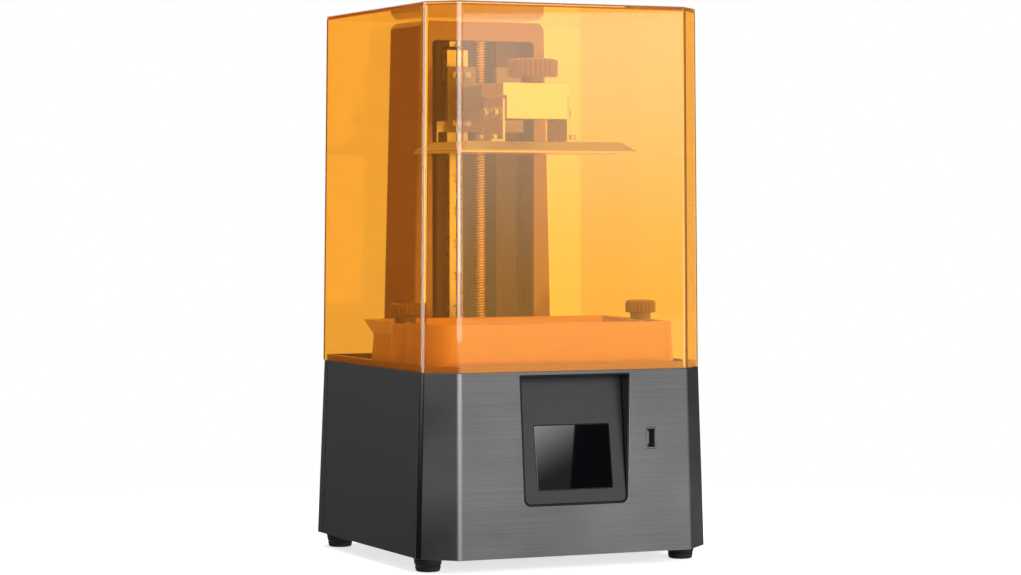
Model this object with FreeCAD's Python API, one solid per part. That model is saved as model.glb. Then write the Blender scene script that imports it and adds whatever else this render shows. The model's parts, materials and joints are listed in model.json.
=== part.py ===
import FreeCAD, Part
import math
import os

# Desktop resin printer with a tinted lift-off cover.
# Millimetres, +Z up, +X right, front at -Y, origin under the middle of the case at foot level.

# Case outline
FOOT_H = 10.0
BASE_W = 221.0
BASE_H = 127.3
DECK_W = 213.0
CHAMFER = 22.2
CASE_EDGE_R = 6.5
CASE_WALL = 3.0
PANEL_SEAM = 0.5
SEAM_SETBACK = 4.0
REAR_WRAP = 12.0
PLATE_T = 2.5
DECK_T = 3.0
POST_W = 12.0
POST_INSET = 13.0
POST_FRONT_STEP = 4.7
POST_REAR_STEP = 8.5
FIT = 0.3
SCREW_FIT = 0.2

# Cover and its locating lip on the deck
COVER_H = 253.2
COVER_DRAFT = 2.3
COVER_WALL = 3.0
COVER_EDGE_R = 3.5
LIP_H = 4.5
LIP_T = 2.0
LIP_FIT = 0.6

# Feet
FOOT_TOP_D = 20.4
FOOT_BOTTOM_D = 16.6
FOOT_PEG_D = 6.0
FOOT_SIDE_INSET = 13.0
FOOT_FRONT_INSET = 34.5
FOOT_REAR_INSET = 17.5

# Screen recess in the front panel
RECESS_TOP_W = 84.0
RECESS_BOTTOM_W = 79.0
RECESS_BOTTOM = 34.8
RECESS_HEAD = 2.3
RECESS_DEPTH = 12.0
RECESS_R = 5.0
LINER_WALL = 1.0
LINER_FLOOR = 1.5
BEZEL_T = 3.0
GLASS_W = 57.5
GLASS_H = 45.0
GLASS_T = 1.8
GLASS_RISE = 10.8
DISPLAY_T = 6.0
DISPLAY_BORDER = 2.0
RIBBON_W = 14.0
RIBBON_RISE = 17.0
RIBBON_T = 0.8

# Sockets, switch and vents
USB_W = 7.2
USB_H = 14.5
USB_X = 58.2
USB_RISE = 72.0
USB_DEPTH = 14.0
USB_WALL = 0.7
JACK_D = 11.0
JACK_BORE = 6.4
JACK_PIN = 2.0
JACK_DEPTH = 12.0
JACK_X = 72.0
JACK_RISE = 24.0
SWITCH_X = 45.0
SWITCH_W = 13.0
SWITCH_H = 19.0
SWITCH_DEPTH = 16.0
SWITCH_WALL = 1.5
ROCKER_R = 6.6
ROCKER_PIN_D = 2.4
PIN_FIT = 0.05
ROCKER_DIP = 1.6
VENT_X = -52.0
VENT_RISE = 62.0
VENT_SLOT = 2.6
VENT_PITCH = 5.2

# Fans
EXHAUST_FAN_W = 50.0
EXHAUST_FAN_T = 14.0
LED_FAN_W = 60.0
LED_FAN_T = 12.0
FAN_RIM = 2.0
FAN_HUB_D = 22.0
FAN_SPINDLE_D = 3.0
FAN_BACK_T = 3.0
FAN_BLADES = 7
BLADE_T = 1.4
BLADE_PITCH = 35.0

# Tower, lead screw and the linear rail left of it
TOWER_BACK_GAP = 1.7
TOWER_TOP_W = 104.8
TOWER_FOOT_W = 117.4
TOWER_NARROW = 3.8
TOWER_TOP_GAP = 1.3
TOWER_WALL = 2.5
TOWER_TOP_CHAMFER = 4.0
TOWER_EDGE_R = 2.0
SCREW_TO_BACK = 41.0
SCREW_BEHIND_FRONT = 7.0
OPENING_W = 80.0
OPENING_HEAD = 14.5
OPENING_R = 3.0
SCREW_D = 8.0
SCREW_END_GAP = 3.0
MOTOR_W = 42.3
MOTOR_H = 40.0
MOTOR_EDGE = 4.0
MOTOR_BOSS_D = 22.0
COLUMN_W = 64.0
COLUMN_D = 28.0
COLUMN_HEAD = 6.2
COLUMN_WEB = 5.0
COLUMN_SETBACK = 5.0
CHANNEL_W = 30.0
GUIDE_X = 20.0
GUIDE_W = 9.0
GUIDE_H = 6.5
GUIDE_END = 2.0
GUIDE_BLOCK_W = 16.0
GUIDE_BLOCK_H = 10.0
GUIDE_BLOCK_L = 28.0
GUIDE_BLOCK_PITCH = 50.0

# Carriage, arm and build platform, in the pose of the photograph
PLATFORM_HEAD = 98.1
PLATFORM_AHEAD = 2.2
PLATFORM_SIDE_GAP = 25.5
PLATFORM_END_GAP = 17.5
PLATFORM_RIM = 2.0
PLATFORM_SLOPE_H = 6.0
PLATFORM_SLOPE_IN = 8.0
BRACKET_T = 2.0
BRACKET_H = 31.0
BRACKET_D = 34.0
BRACKET_GAP_W = 48.0
BRACKET_FLANGE = 8.7
BLOCK_GAP = 16.2
BLOCK_LOW_H = 16.6
BLOCK_HEAD_H = 9.0
BLOCK_HEAD_W = 53.0
BLOCK_D = 38.0
ARM_H = 18.2
ARM_W = 40.0
TONGUE_W = 32.0
TONGUE_H = 12.0
TONGUE_STOP = 5.0
CARRIAGE_W = 60.0
CARRIAGE_H = 48.0
CARRIAGE_T = 6.0
CARRIAGE_NOTCH_W = 16.0
CARRIAGE_NOTCH_H = 12.0
NUT_FLANGE_D = 22.0
NUT_FLANGE_H = 3.5
NUT_BODY_D = 10.4
NUT_BODY_H = 12.0
NUT_SHELF_T = 5.0
NUT_SHELF_W = 26.0
CLAMP_HEAD_D = 36.4
CLAMP_HEAD_H = 13.5
CLAMP_NECK_D = 16.0
CLAMP_NECK_H = 4.0
CLAMP_STUD_D = 8.0
CLAMP_AHEAD = 10.3
SCREW_HEAD_D = 7.0
SCREW_HEAD_H = 3.6
SCREW_SHANK_D = 4.0
LEVEL_SLOT = 1.0
LEVEL_SPACING = 18.0
LEVEL_RISE = 21.0
PIVOT_D = 3.0
SENSOR_W = 8.0
SENSOR_SLOT = 3.0
FLAG_T = 1.2
FLAG_DROP = 11.0

# Vat, its film and its clamping screws
VAT_SIDE_GAP = 13.5
VAT_FRONT_GAP = 26.5
VAT_TOWER_GAP = 4.5
VAT_H = 29.2
VAT_WALL = 4.0
VAT_FLOOR = 3.0
VAT_DRAFT = 1.8
VAT_CORNER_R = 14.0
VAT_REAR_R = 7.0
LIP_START = 10.5
LIP_REACH = 10.0
LIP_FLARE = 3.5
LIP_CORNER_R = 5.5
VAT_MARGIN = 4.0
FILM_FRAME_W = 6.5
FILM_FRAME_T = 3.0
FILM_T = 0.2
VAT_KNOB_INSET = 2.0
VAT_KNOB_D = 22.0
VAT_KNOB_H = 9.4
VAT_NECK_D = 15.0
VAT_NECK_H = 4.6
VAT_STUD_D = 6.0
VAT_STUD_GRIP = 2.5
EAR_R = 9.6
EAR_DROP = 0.5
VAT_RAIL_W = 27.0
VAT_RAIL_OVERHANG = 3.5
VAT_RAIL_T = 3.0
VAT_RAIL_OUT = 6.0

# Light engine under the mask screen
LCD_BORDER = 1.0
LCD_T = 1.2
LIGHT_INSET = 5.0
HOOD_WALL = 2.0
ENGINE_CLEAR = 18.2
HOOD_FOOT_W = 76.0
HOOD_FOOT_D = 66.0
LED_BOARD_T = 1.6
LENS_T = 6.0
SINK_T = 4.0
SINK_FIN_H = 16.0
SINK_FIN_T = 1.6
SINK_FINS = 9

# Control board
BOARD_W = 100.0
BOARD_D = 64.0
BOARD_POST_GAP = 6.0
BOARD_AHEAD = 5.0
BOARD_T = 1.6
STANDOFF_H = 6.0
STANDOFF_D = 6.0
CHIP_H = 3.0

# Heights and places that follow from the sizes above
DECK_Z = FOOT_H + BASE_H
DECK_UNDER = DECK_Z - DECK_T
FLOOR_Z = FOOT_H + PLATE_T
COVER_Z = DECK_Z + FIT
COVER_TOP = COVER_Z + COVER_H
COVER_TOP_W = DECK_W - 2 * COVER_DRAFT
LEG_RATE = 2.0 - math.sqrt(2.0)
TOWER_BACK = COVER_TOP_W / 2 - COVER_WALL - TOWER_BACK_GAP
TOWER_TOP = COVER_TOP - COVER_WALL - TOWER_TOP_GAP
OPENING_TOP = TOWER_TOP - OPENING_HEAD
COLUMN_TOP = TOWER_TOP - COLUMN_HEAD
SCREW_Y = TOWER_BACK - SCREW_TO_BACK
TOWER_FRONT = SCREW_Y - SCREW_BEHIND_FRONT
COLUMN_FRONT = SCREW_Y + COLUMN_SETBACK
CARRIAGE_BACK = COLUMN_FRONT - GUIDE_BLOCK_H
CARRIAGE_FRONT = CARRIAGE_BACK - CARRIAGE_T
VAT_W = DECK_W - 2 * VAT_SIDE_GAP
VAT_FRONT_Y = VAT_FRONT_GAP - DECK_W / 2
VAT_BACK_Y = TOWER_FRONT - VAT_TOWER_GAP - LIP_REACH
VAT_D = VAT_BACK_Y - VAT_FRONT_Y
PLATFORM_W = VAT_W - 2 * PLATFORM_SIDE_GAP
PLATFORM_D = VAT_D - 2 * PLATFORM_END_GAP
PLATFORM_Y = (VAT_FRONT_Y + VAT_BACK_Y) / 2 - PLATFORM_AHEAD
PLATFORM_Z = TOWER_TOP - PLATFORM_HEAD
PLATFORM_TOP = PLATFORM_Z + PLATFORM_RIM + PLATFORM_SLOPE_H
BLOCK_Z = PLATFORM_TOP + BLOCK_GAP
BLOCK_HEAD_Z = BLOCK_Z + BLOCK_LOW_H
BLOCK_TOP = BLOCK_HEAD_Z + BLOCK_HEAD_H
BLOCK_FRONT = PLATFORM_Y - BLOCK_D / 2
BLOCK_BACK = PLATFORM_Y + BLOCK_D / 2
BLOCK_LOW_W = BRACKET_GAP_W - 2 * FIT
ARM_Z = BLOCK_TOP - ARM_H
TONGUE_Z = ARM_Z + (ARM_H - TONGUE_H) / 2
CARRIAGE_MID = ARM_Z + ARM_H / 2
CARRIAGE_Z = CARRIAGE_MID - CARRIAGE_H / 2
RAIL_TOP = DECK_Z + VAT_RAIL_T
VAT_Z = RAIL_TOP
VAT_RIM = VAT_Z + VAT_H
VAT_KNOB_X = VAT_W / 2 - VAT_KNOB_INSET
LCD_TOP = VAT_Z - FIT
LCD_W = PLATFORM_W + 2 * LCD_BORDER
LCD_D = PLATFORM_D + 2 * LCD_BORDER
LIGHT_W = LCD_W - 2 * LIGHT_INSET
LIGHT_D = LCD_D - 2 * LIGHT_INSET
LED_FAN_Z = FLOOR_Z + ENGINE_CLEAR
FIN_Z = LED_FAN_Z + LED_FAN_T
SINK_Z = FIN_Z + SINK_FIN_H
LED_Z = SINK_Z + SINK_T
HOOD_Z = LED_Z + LED_BOARD_T
BOARD_Z = FLOOR_Z + STANDOFF_H
FOOT_X = BASE_W / 2 - FOOT_SIDE_INSET
FOOT_FRONT_Y = FOOT_FRONT_INSET - BASE_W / 2
FOOT_REAR_Y = BASE_W / 2 - FOOT_REAR_INSET
POST_X = FOOT_X - POST_INSET
POST_FRONT_Y = FOOT_FRONT_Y + POST_FRONT_STEP
POST_REAR_Y = FOOT_REAR_Y - POST_REAR_STEP
BOARD_X = POST_W / 2 - POST_X + BOARD_POST_GAP + BOARD_W / 2
BOARD_Y = SCREW_Y - BOARD_AHEAD
X_AXIS = FreeCAD.Vector(1, 0, 0)
Z_AXIS = FreeCAD.Vector(0, 0, 1)
SIDES = (("left", -1), ("right", 1))
FAR = 2.0 * BASE_W
QUARTER_TURN = 90


def vec(x, y, z):
    return FreeCAD.Vector(x, y, z)


def box(x0, x1, y0, y1, z0, z1):
    return Part.makeBox(x1 - x0, y1 - y0, z1 - z0, vec(x0, y0, z0))


def centred_box(width, depth, z0, z1, y_mid=0.0, x_mid=0.0):
    return box(x_mid - width / 2, x_mid + width / 2, y_mid - depth / 2, y_mid + depth / 2, z0, z1)


def rod(diameter, start, end):
    run = end - start
    return Part.makeCylinder(diameter / 2, run.Length, start, run)


def post(diameter, x, y, z0, z1):
    return rod(diameter, vec(x, y, z0), vec(x, y, z1))


def joined(shapes):
    return shapes[0].multiFuse(shapes[1:]).removeSplitter()


def upright_edges(shape):
    edges = []
    for edge in shape.Edges:
        rise = edge.BoundBox.ZLength
        if rise > 0.9 * edge.Length:
            edges.append(edge)
    return edges


def rounded_box(width, depth, z0, z1, radius, y_mid=0.0, x_mid=0.0):
    block = centred_box(width, depth, z0, z1, y_mid, x_mid)
    return block.makeFillet(radius, upright_edges(block))


def polygon(points):
    return Part.makePolygon(points + points[:1])


def frustum(low, high):
    faces = [Part.Face(polygon(high)), Part.Face(polygon(low))]
    count = len(low)
    for number in range(count):
        after = (number + 1) % count
        faces.append(Part.Face(polygon([low[number], low[after], high[after], high[number]])))
    shell = Part.makeShell(faces)
    shell.sewShape()
    return Part.makeSolid(shell.reversed())


def rectangle(width, depth, y_mid, z):
    corners = ((-1, -1), (1, -1), (1, 1), (-1, 1))
    return [vec(sx * width / 2, y_mid + sy * depth / 2, z) for sx, sy in corners]


def ring_boxes(outer_w, outer_d, inner_w, inner_d, z0, z1, y_mid):
    outer = centred_box(outer_w, outer_d, z0, z1, y_mid)
    return outer.cut(centred_box(inner_w, inner_d, z0, z1, y_mid))


# Case outline: a square with 45 degree front corners, tapering upwards
def case_half(z):
    share = (z - FOOT_H) / BASE_H
    return (BASE_W + (DECK_W - BASE_W) * share) / 2


def cover_half(z):
    share = (z - DECK_Z) / (COVER_TOP - DECK_Z)
    return (DECK_W + (COVER_TOP_W - DECK_W) * share) / 2


def outline(half, z):
    leg = CHAMFER - (BASE_W / 2 - half) * LEG_RATE
    corners = [(-half, half), (-half, leg - half), (leg - half, -half)]
    mirrored = [(-x, y) for x, y in reversed(corners)]
    return [vec(x, y, z) for x, y in corners + mirrored]


def tapered(half_at, inset, z0, z1, radius):
    solid = frustum(outline(half_at(z0) - inset, z0), outline(half_at(z1) - inset, z1))
    return solid.makeFillet(radius, upright_edges(solid))


def case_solid(inset=0.0):
    return tapered(case_half, inset, FOOT_H, DECK_Z, CASE_EDGE_R - inset / 2)


def front_y(z):
    return -case_half(z)


# Recess for the screen: a tapering opening whose floor leans back towards the top
RECESS_Z0 = FOOT_H + RECESS_BOTTOM
RECESS_Z1 = DECK_Z - RECESS_HEAD
RECESS_Y0 = front_y(RECESS_Z0)
RECESS_Y1 = front_y(RECESS_Z1) + RECESS_DEPTH
RECESS_LEAN = math.degrees(math.atan2(RECESS_Y1 - RECESS_Y0, RECESS_Z1 - RECESS_Z0))


def recess_prism(inset):
    low = RECESS_BOTTOM_W / 2 - inset
    high = RECESS_TOP_W / 2 - inset
    z0 = RECESS_Z0 + inset
    z1 = RECESS_Z1 - inset
    y0 = RECESS_Y0 - CASE_WALL
    face = Part.Face(polygon([vec(-low, y0, z0), vec(low, y0, z0), vec(high, y0, z1), vec(-high, y0, z1)]))
    prism = face.extrude(vec(0, 3 * RECESS_DEPTH, 0))
    lower = [edge for edge in prism.Edges if edge.BoundBox.YLength > RECESS_DEPTH
             and edge.BoundBox.ZMax < (z0 + z1) / 2]
    return prism.makeFillet(RECESS_R - inset, lower)


def leaning(x0, x1, depth0, depth1, rise0, rise1):
    slab = box(x0, x1, RECESS_Y0 + depth0, RECESS_Y0 + depth1, RECESS_Z0 + rise0, RECESS_Z0 + rise1)
    slab.rotate(vec(0, RECESS_Y0, RECESS_Z0), X_AXIS, -RECESS_LEAN)
    return slab


def leaning_layer(depth0, depth1):
    return leaning(-FAR, FAR, depth0, depth1, -FAR, FAR)


def screen_window(depth0, depth1, border):
    half = GLASS_W / 2 + border
    return leaning(-half, half, depth0, depth1, GLASS_RISE - border, GLASS_RISE + GLASS_H + border)


def screen_pieces():
    shell = recess_prism(SCREW_FIT).common(case_solid())
    shell = shell.common(leaning_layer(-FAR, BEZEL_T + LINER_FLOOR))
    shell = shell.cut(recess_prism(SCREW_FIT + LINER_WALL).common(leaning_layer(-FAR, BEZEL_T)))
    surround = shell.cut(screen_window(BEZEL_T, BEZEL_T + LINER_FLOOR, DISPLAY_BORDER + SCREW_FIT))
    bezel = recess_prism(2 * SCREW_FIT + LINER_WALL).common(leaning_layer(0, BEZEL_T))
    bezel = bezel.cut(screen_window(0, GLASS_T, SCREW_FIT / 2))
    bezel = bezel.cut(screen_window(GLASS_T, BEZEL_T, -DISPLAY_BORDER))
    glass = screen_window(0, GLASS_T, 0)
    lens = screen_window(GLASS_T, BEZEL_T, -DISPLAY_BORDER - SCREW_FIT / 2)
    display = joined([lens, screen_window(BEZEL_T, BEZEL_T + DISPLAY_T, DISPLAY_BORDER)])
    return {"screen_surround": surround, "screen_bezel": bezel, "touch_screen": glass,
            "display_module": display}


# Case panels, floor, deck and feet
USB_Z0 = FOOT_H + USB_RISE
USB_Y = front_y(USB_Z0 + USB_H)
SWITCH_Z = FOOT_H + JACK_RISE
SWITCH_FACE = case_half(SWITCH_Z) + FIT
ROCKER_Y = SWITCH_FACE - ROCKER_R
FAN_Z = FOOT_H + VENT_RISE
FAN_FACE = min(case_half(FAN_Z + sign * EXHAUST_FAN_W / 2) for sign in (-1, 1)) - CASE_WALL
POST_PLACES = [(sx * POST_X, y) for sx in (-1, 1) for y in (POST_FRONT_Y, POST_REAR_Y)]
FOOT_PLACES = {"foot_front_left": (-FOOT_X, FOOT_FRONT_Y), "foot_front_right": (FOOT_X, FOOT_FRONT_Y),
               "foot_rear_left": (-FOOT_X, FOOT_REAR_Y), "foot_rear_right": (FOOT_X, FOOT_REAR_Y)}


def usb_slot(border, depth):
    half = USB_W / 2 + border
    return box(USB_X - half, USB_X + half, USB_Y - CASE_WALL, USB_Y + depth,
               USB_Z0 - border, USB_Z0 + USB_H + border)


def vent_slots():
    count = int((EXHAUST_FAN_W - 4 * FAN_RIM) / VENT_PITCH)
    slots = []
    for number in range(count):
        offset = (number - (count - 1) / 2) * VENT_PITCH
        reach = math.sqrt((EXHAUST_FAN_W / 2 - 2 * FAN_RIM) ** 2 - offset ** 2)
        slots.append(box(VENT_X - reach, VENT_X + reach, FAN_FACE - CASE_WALL, FAR,
                         FAN_Z + offset - VENT_SLOT / 2, FAN_Z + offset + VENT_SLOT / 2))
    return slots


def case_panels():
    shell = case_solid().cut(case_solid(CASE_WALL))
    front_seam = SEAM_SETBACK + CHAMFER - BASE_W / 2
    rear_seam = DECK_W / 2 - REAR_WRAP
    front = shell.common(box(-FAR, FAR, -FAR, front_seam, 0, FAR))
    front = front.cut(recess_prism(0)).cut(usb_slot(SCREW_FIT, USB_DEPTH))
    rear = shell.common(box(-FAR, FAR, rear_seam, FAR, 0, FAR))
    rear = rear.cut(rod(JACK_D + 2 * SCREW_FIT, vec(JACK_X, 0, SWITCH_Z), vec(JACK_X, FAR, SWITCH_Z)))
    rear = rear.cut(box(SWITCH_X - SWITCH_W / 2 - SCREW_FIT, SWITCH_X + SWITCH_W / 2 + SCREW_FIT, 0, FAR,
                        SWITCH_Z - SWITCH_H / 2 - SCREW_FIT, SWITCH_Z + SWITCH_H / 2 + SCREW_FIT))
    rear = rear.cut(vent_slots())
    panels = {"front_panel": front, "rear_panel": rear}
    for name, side in SIDES:
        middle = box(min(0, side * FAR), max(0, side * FAR), front_seam + PANEL_SEAM,
                     rear_seam - PANEL_SEAM, 0, FAR)
        panels[name + "_side_panel"] = shell.common(middle)
    return panels


def base_plate():
    plate = tapered(case_half, CASE_WALL + FIT, FOOT_H, FLOOR_Z, CASE_EDGE_R - CASE_WALL / 2)
    pegs = [post(FOOT_PEG_D + 2 * SCREW_FIT, x, y, 0, FLOOR_Z) for x, y in FOOT_PLACES.values()]
    screws = [post(SCREW_SHANK_D + 2 * SCREW_FIT, x, y, 0, FLOOR_Z) for x, y in POST_PLACES]
    count = int(LED_FAN_W / (2 * VENT_PITCH))
    slots = []
    for number in range(count):
        x = (number - (count - 1) / 2) * 2 * VENT_PITCH
        slots.append(centred_box(2 * VENT_SLOT, LED_FAN_W, 0, FLOOR_Z, PLATFORM_Y, x))
    return plate.cut(pegs + screws + slots)


def chassis_posts():
    posts = []
    for x, y in POST_PLACES:
        bar = centred_box(POST_W, POST_W, FLOOR_Z, DECK_UNDER, y, x)
        posts.append(bar.cut(post(SCREW_SHANK_D + 2 * PIN_FIT, x, y, 0, FLOOR_Z + POST_W)))
    return Part.makeCompound(posts)


def case_screws():
    screws = []
    for x, y in POST_PLACES:
        head = post(SCREW_HEAD_D, x, y, FOOT_H - SCREW_HEAD_H / 2, FOOT_H)
        screws.append(joined([head, post(SCREW_SHANK_D, x, y, FOOT_H, FLOOR_Z + POST_W - FIT)]))
    return Part.makeCompound(screws)


def foot(x, y):
    cone = Part.makeCone(FOOT_BOTTOM_D / 2, FOOT_TOP_D / 2, FOOT_H, vec(x, y, 0))
    return joined([cone, post(FOOT_PEG_D, x, y, FOOT_H, FLOOR_Z)])


def top_deck():
    deck = tapered(case_half, CASE_WALL + FIT, DECK_UNDER, DECK_Z, CASE_EDGE_R - CASE_WALL / 2)
    edge = COVER_WALL + LIP_FIT
    lip = tapered(cover_half, edge, DECK_Z, DECK_Z + LIP_H, COVER_EDGE_R)
    lip = lip.cut(tapered(cover_half, edge + LIP_T, DECK_Z, DECK_Z + LIP_H, COVER_EDGE_R / 2))
    deck = joined([deck, lip])
    cuts = [centred_box(LIGHT_W, LIGHT_D, 0, DECK_Z, PLATFORM_Y), recess_prism(0)]
    cuts.append(post(MOTOR_BOSS_D + 2 * SCREW_FIT, 0, SCREW_Y, 0, DECK_Z))
    for name, side in SIDES:
        cuts.append(post(VAT_STUD_D + 2 * PIN_FIT, side * VAT_KNOB_X, PLATFORM_Y, 0, DECK_Z))
    return deck.cut(cuts)


def cover():
    outer = tapered(cover_half, 0, COVER_Z, COVER_TOP, COVER_EDGE_R)
    inner = tapered(cover_half, COVER_WALL, COVER_Z, COVER_TOP - COVER_WALL, COVER_EDGE_R / 2)
    return outer.cut(inner)


# Sockets, switch and fans
def usb_port():
    shell = box(USB_X - USB_W / 2, USB_X + USB_W / 2, USB_Y, USB_Y + USB_DEPTH, USB_Z0, USB_Z0 + USB_H)
    shell = shell.cut(usb_slot(-USB_WALL, USB_DEPTH - USB_WALL))
    tongue = box(USB_X - USB_WALL, USB_X + USB_WALL, USB_Y + USB_DEPTH / 3, USB_Y + USB_DEPTH,
                 USB_Z0 + USB_H / 5, USB_Z0 + USB_H - USB_H / 5)
    return joined([shell, tongue])


def dc_jack():
    face = case_half(SWITCH_Z)
    deep = face - JACK_DEPTH
    barrel = rod(JACK_D, vec(JACK_X, deep, SWITCH_Z), vec(JACK_X, face, SWITCH_Z))
    barrel = barrel.cut(rod(JACK_BORE, vec(JACK_X, deep + JACK_PIN, SWITCH_Z), vec(JACK_X, face, SWITCH_Z)))
    pin = rod(JACK_PIN, vec(JACK_X, deep, SWITCH_Z), vec(JACK_X, face - JACK_PIN, SWITCH_Z))
    return joined([barrel, pin])


def rocker_bar(diameter, half):
    return rod(diameter, vec(SWITCH_X - half, ROCKER_Y, SWITCH_Z), vec(SWITCH_X + half, ROCKER_Y, SWITCH_Z))


def switch_housing():
    back = SWITCH_FACE - SWITCH_DEPTH
    well = ROCKER_R + FIT
    half = SWITCH_W / 2
    body = box(SWITCH_X - half, SWITCH_X + half, back, SWITCH_FACE,
               SWITCH_Z - SWITCH_H / 2, SWITCH_Z + SWITCH_H / 2)
    body = body.cut(box(SWITCH_X - half + SWITCH_WALL, SWITCH_X + half - SWITCH_WALL, ROCKER_Y - well,
                        SWITCH_FACE, SWITCH_Z - well, SWITCH_Z + well))
    bore = ROCKER_PIN_D + 2 * PIN_FIT
    return body.cut(rocker_bar(bore, half))


def switch_rocker():
    half = SWITCH_W / 2 - SWITCH_WALL - FIT
    drum = rocker_bar(2 * ROCKER_R, half)
    slab = box(-FAR, FAR, ROCKER_Y + ROCKER_R - ROCKER_DIP, FAR, -FAR, FAR)
    slab.rotate(vec(SWITCH_X, ROCKER_Y, SWITCH_Z), X_AXIS, math.degrees(ROCKER_DIP / ROCKER_R))
    return joined([drum.cut(slab), rocker_bar(ROCKER_PIN_D, SWITCH_W / 2 - FIT)])


def fan_frame(width, thick):
    frame = centred_box(width, width, 0, thick)
    frame = frame.cut(post(width - 2 * FAN_RIM, 0, 0, 0, thick))
    pieces = [frame, post(FAN_HUB_D, 0, 0, 0, FAN_BACK_T), post(FAN_SPINDLE_D, 0, 0, 0, thick - FAN_RIM)]
    for number in range(3):
        strut = box(0, width / 2 - FAN_RIM / 2, -FAN_RIM, FAN_RIM, 0, FAN_BACK_T)
        strut.rotate(vec(0, 0, 0), Z_AXIS, 120 * number)
        pieces.append(strut)
    return joined(pieces)


def fan_rotor(width, thick):
    z0 = FAN_BACK_T + FIT
    z1 = thick - FIT
    tip = width / 2 - 2 * FAN_RIM
    lean = math.radians(BLADE_PITCH)
    height = (z1 - z0 - BLADE_T * math.sin(lean)) / math.cos(lean)
    pieces = [post(FAN_HUB_D, 0, 0, z0, z1)]
    for number in range(FAN_BLADES):
        blade = box(FAN_HUB_D / 3, tip, -BLADE_T / 2, BLADE_T / 2, -height / 2, height / 2)
        blade.rotate(vec(0, 0, 0), X_AXIS, BLADE_PITCH)
        blade.translate(vec(0, 0, (z0 + z1) / 2))
        blade.rotate(vec(0, 0, 0), Z_AXIS, 360 * number / FAN_BLADES)
        pieces.append(blade)
    return joined(pieces).cut(post(FAN_SPINDLE_D + 2 * PIN_FIT, 0, 0, 0, thick))


def led_fan_place(shape):
    shape.translate(vec(0, PLATFORM_Y, LED_FAN_Z))
    return shape


def exhaust_fan_place(shape):
    shape.rotate(vec(0, 0, 0), X_AXIS, -QUARTER_TURN)
    shape.translate(vec(VENT_X, FAN_FACE - EXHAUST_FAN_T, FAN_Z))
    return shape


# Tower with the motor, the lead screw and the linear guides
GUIDE_FRONT = COLUMN_FRONT - GUIDE_H
NUT_SHELF_Z = CARRIAGE_MID - NUT_SHELF_T
NUT_Z = CARRIAGE_MID + NUT_FLANGE_H - NUT_BODY_H


def tower_outline(width, z, inset):
    back = width / 2 - inset
    front = back - TOWER_NARROW
    y0 = TOWER_FRONT + inset
    y1 = TOWER_BACK - inset
    return [vec(-front, y0, z), vec(front, y0, z), vec(back, y1, z), vec(-back, y1, z)]


def tower_cover():
    outer = frustum(tower_outline(TOWER_FOOT_W, DECK_Z, 0), tower_outline(TOWER_TOP_W, TOWER_TOP, 0))
    shoulders = [edge for edge in outer.Edges if edge.BoundBox.ZMin > TOWER_TOP - FIT
                 and edge.BoundBox.YLength > TOWER_WALL]
    outer = outer.makeChamfer(TOWER_TOP_CHAMFER, shoulders)
    front_edges = [edge for edge in upright_edges(outer) if edge.BoundBox.YMax < TOWER_FRONT + TOWER_WALL]
    outer = outer.makeFillet(TOWER_EDGE_R, front_edges)
    inner = frustum(tower_outline(TOWER_FOOT_W, DECK_Z, TOWER_WALL),
                    tower_outline(TOWER_TOP_W, TOWER_TOP, TOWER_WALL))
    inner = inner.common(box(-FAR, FAR, -FAR, FAR, 0, TOWER_TOP - TOWER_TOP_CHAMFER))
    window = box(-OPENING_W / 2, OPENING_W / 2, TOWER_FRONT - TOWER_WALL, TOWER_FRONT + TOWER_WALL,
                 DECK_Z, OPENING_TOP)
    heads = [edge for edge in window.Edges
             if edge.BoundBox.ZMin > OPENING_TOP - FIT and edge.BoundBox.XLength < FIT]
    return outer.cut(inner).cut(window.makeFillet(OPENING_R, heads))


def z_motor():
    body = rounded_box(MOTOR_W, MOTOR_W, DECK_UNDER - MOTOR_H, DECK_UNDER, MOTOR_EDGE, SCREW_Y)
    boss = post(MOTOR_BOSS_D, 0, SCREW_Y, DECK_UNDER, DECK_Z)
    bore = post(SCREW_D + 2 * PIN_FIT, 0, SCREW_Y, DECK_UNDER - MOTOR_H / 2, DECK_Z)
    return joined([body, boss]).cut(bore)


def lead_screw():
    return post(SCREW_D, 0, SCREW_Y, DECK_UNDER - MOTOR_H / 2 + FIT, COLUMN_TOP - SCREW_END_GAP)


def z_column():
    bar = box(-COLUMN_W / 2, COLUMN_W / 2, COLUMN_FRONT, COLUMN_FRONT + COLUMN_D, DECK_Z, COLUMN_TOP)
    return bar.cut(box(-CHANNEL_W / 2, CHANNEL_W / 2, COLUMN_FRONT, COLUMN_FRONT + COLUMN_D - COLUMN_WEB,
                       DECK_Z, COLUMN_TOP))


def linear_rails():
    return box(-GUIDE_X - GUIDE_W / 2, -GUIDE_X + GUIDE_W / 2, GUIDE_FRONT, COLUMN_FRONT,
               DECK_Z + GUIDE_END, COLUMN_TOP - GUIDE_END)


def rail_blocks():
    blocks = []
    half = GUIDE_W / 2 + FIT
    groove = box(-GUIDE_X - half, -GUIDE_X + half, GUIDE_FRONT - FIT, COLUMN_FRONT, 0, FAR)
    for step in (-1, 1):
        z = CARRIAGE_MID + step * GUIDE_BLOCK_PITCH / 2
        block = box(-GUIDE_X - GUIDE_BLOCK_W / 2, -GUIDE_X + GUIDE_BLOCK_W / 2, CARRIAGE_BACK,
                    COLUMN_FRONT - GUIDE_END, z - GUIDE_BLOCK_L / 2, z + GUIDE_BLOCK_L / 2)
        blocks.append(block.cut(groove))
    return Part.makeCompound(blocks)


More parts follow.
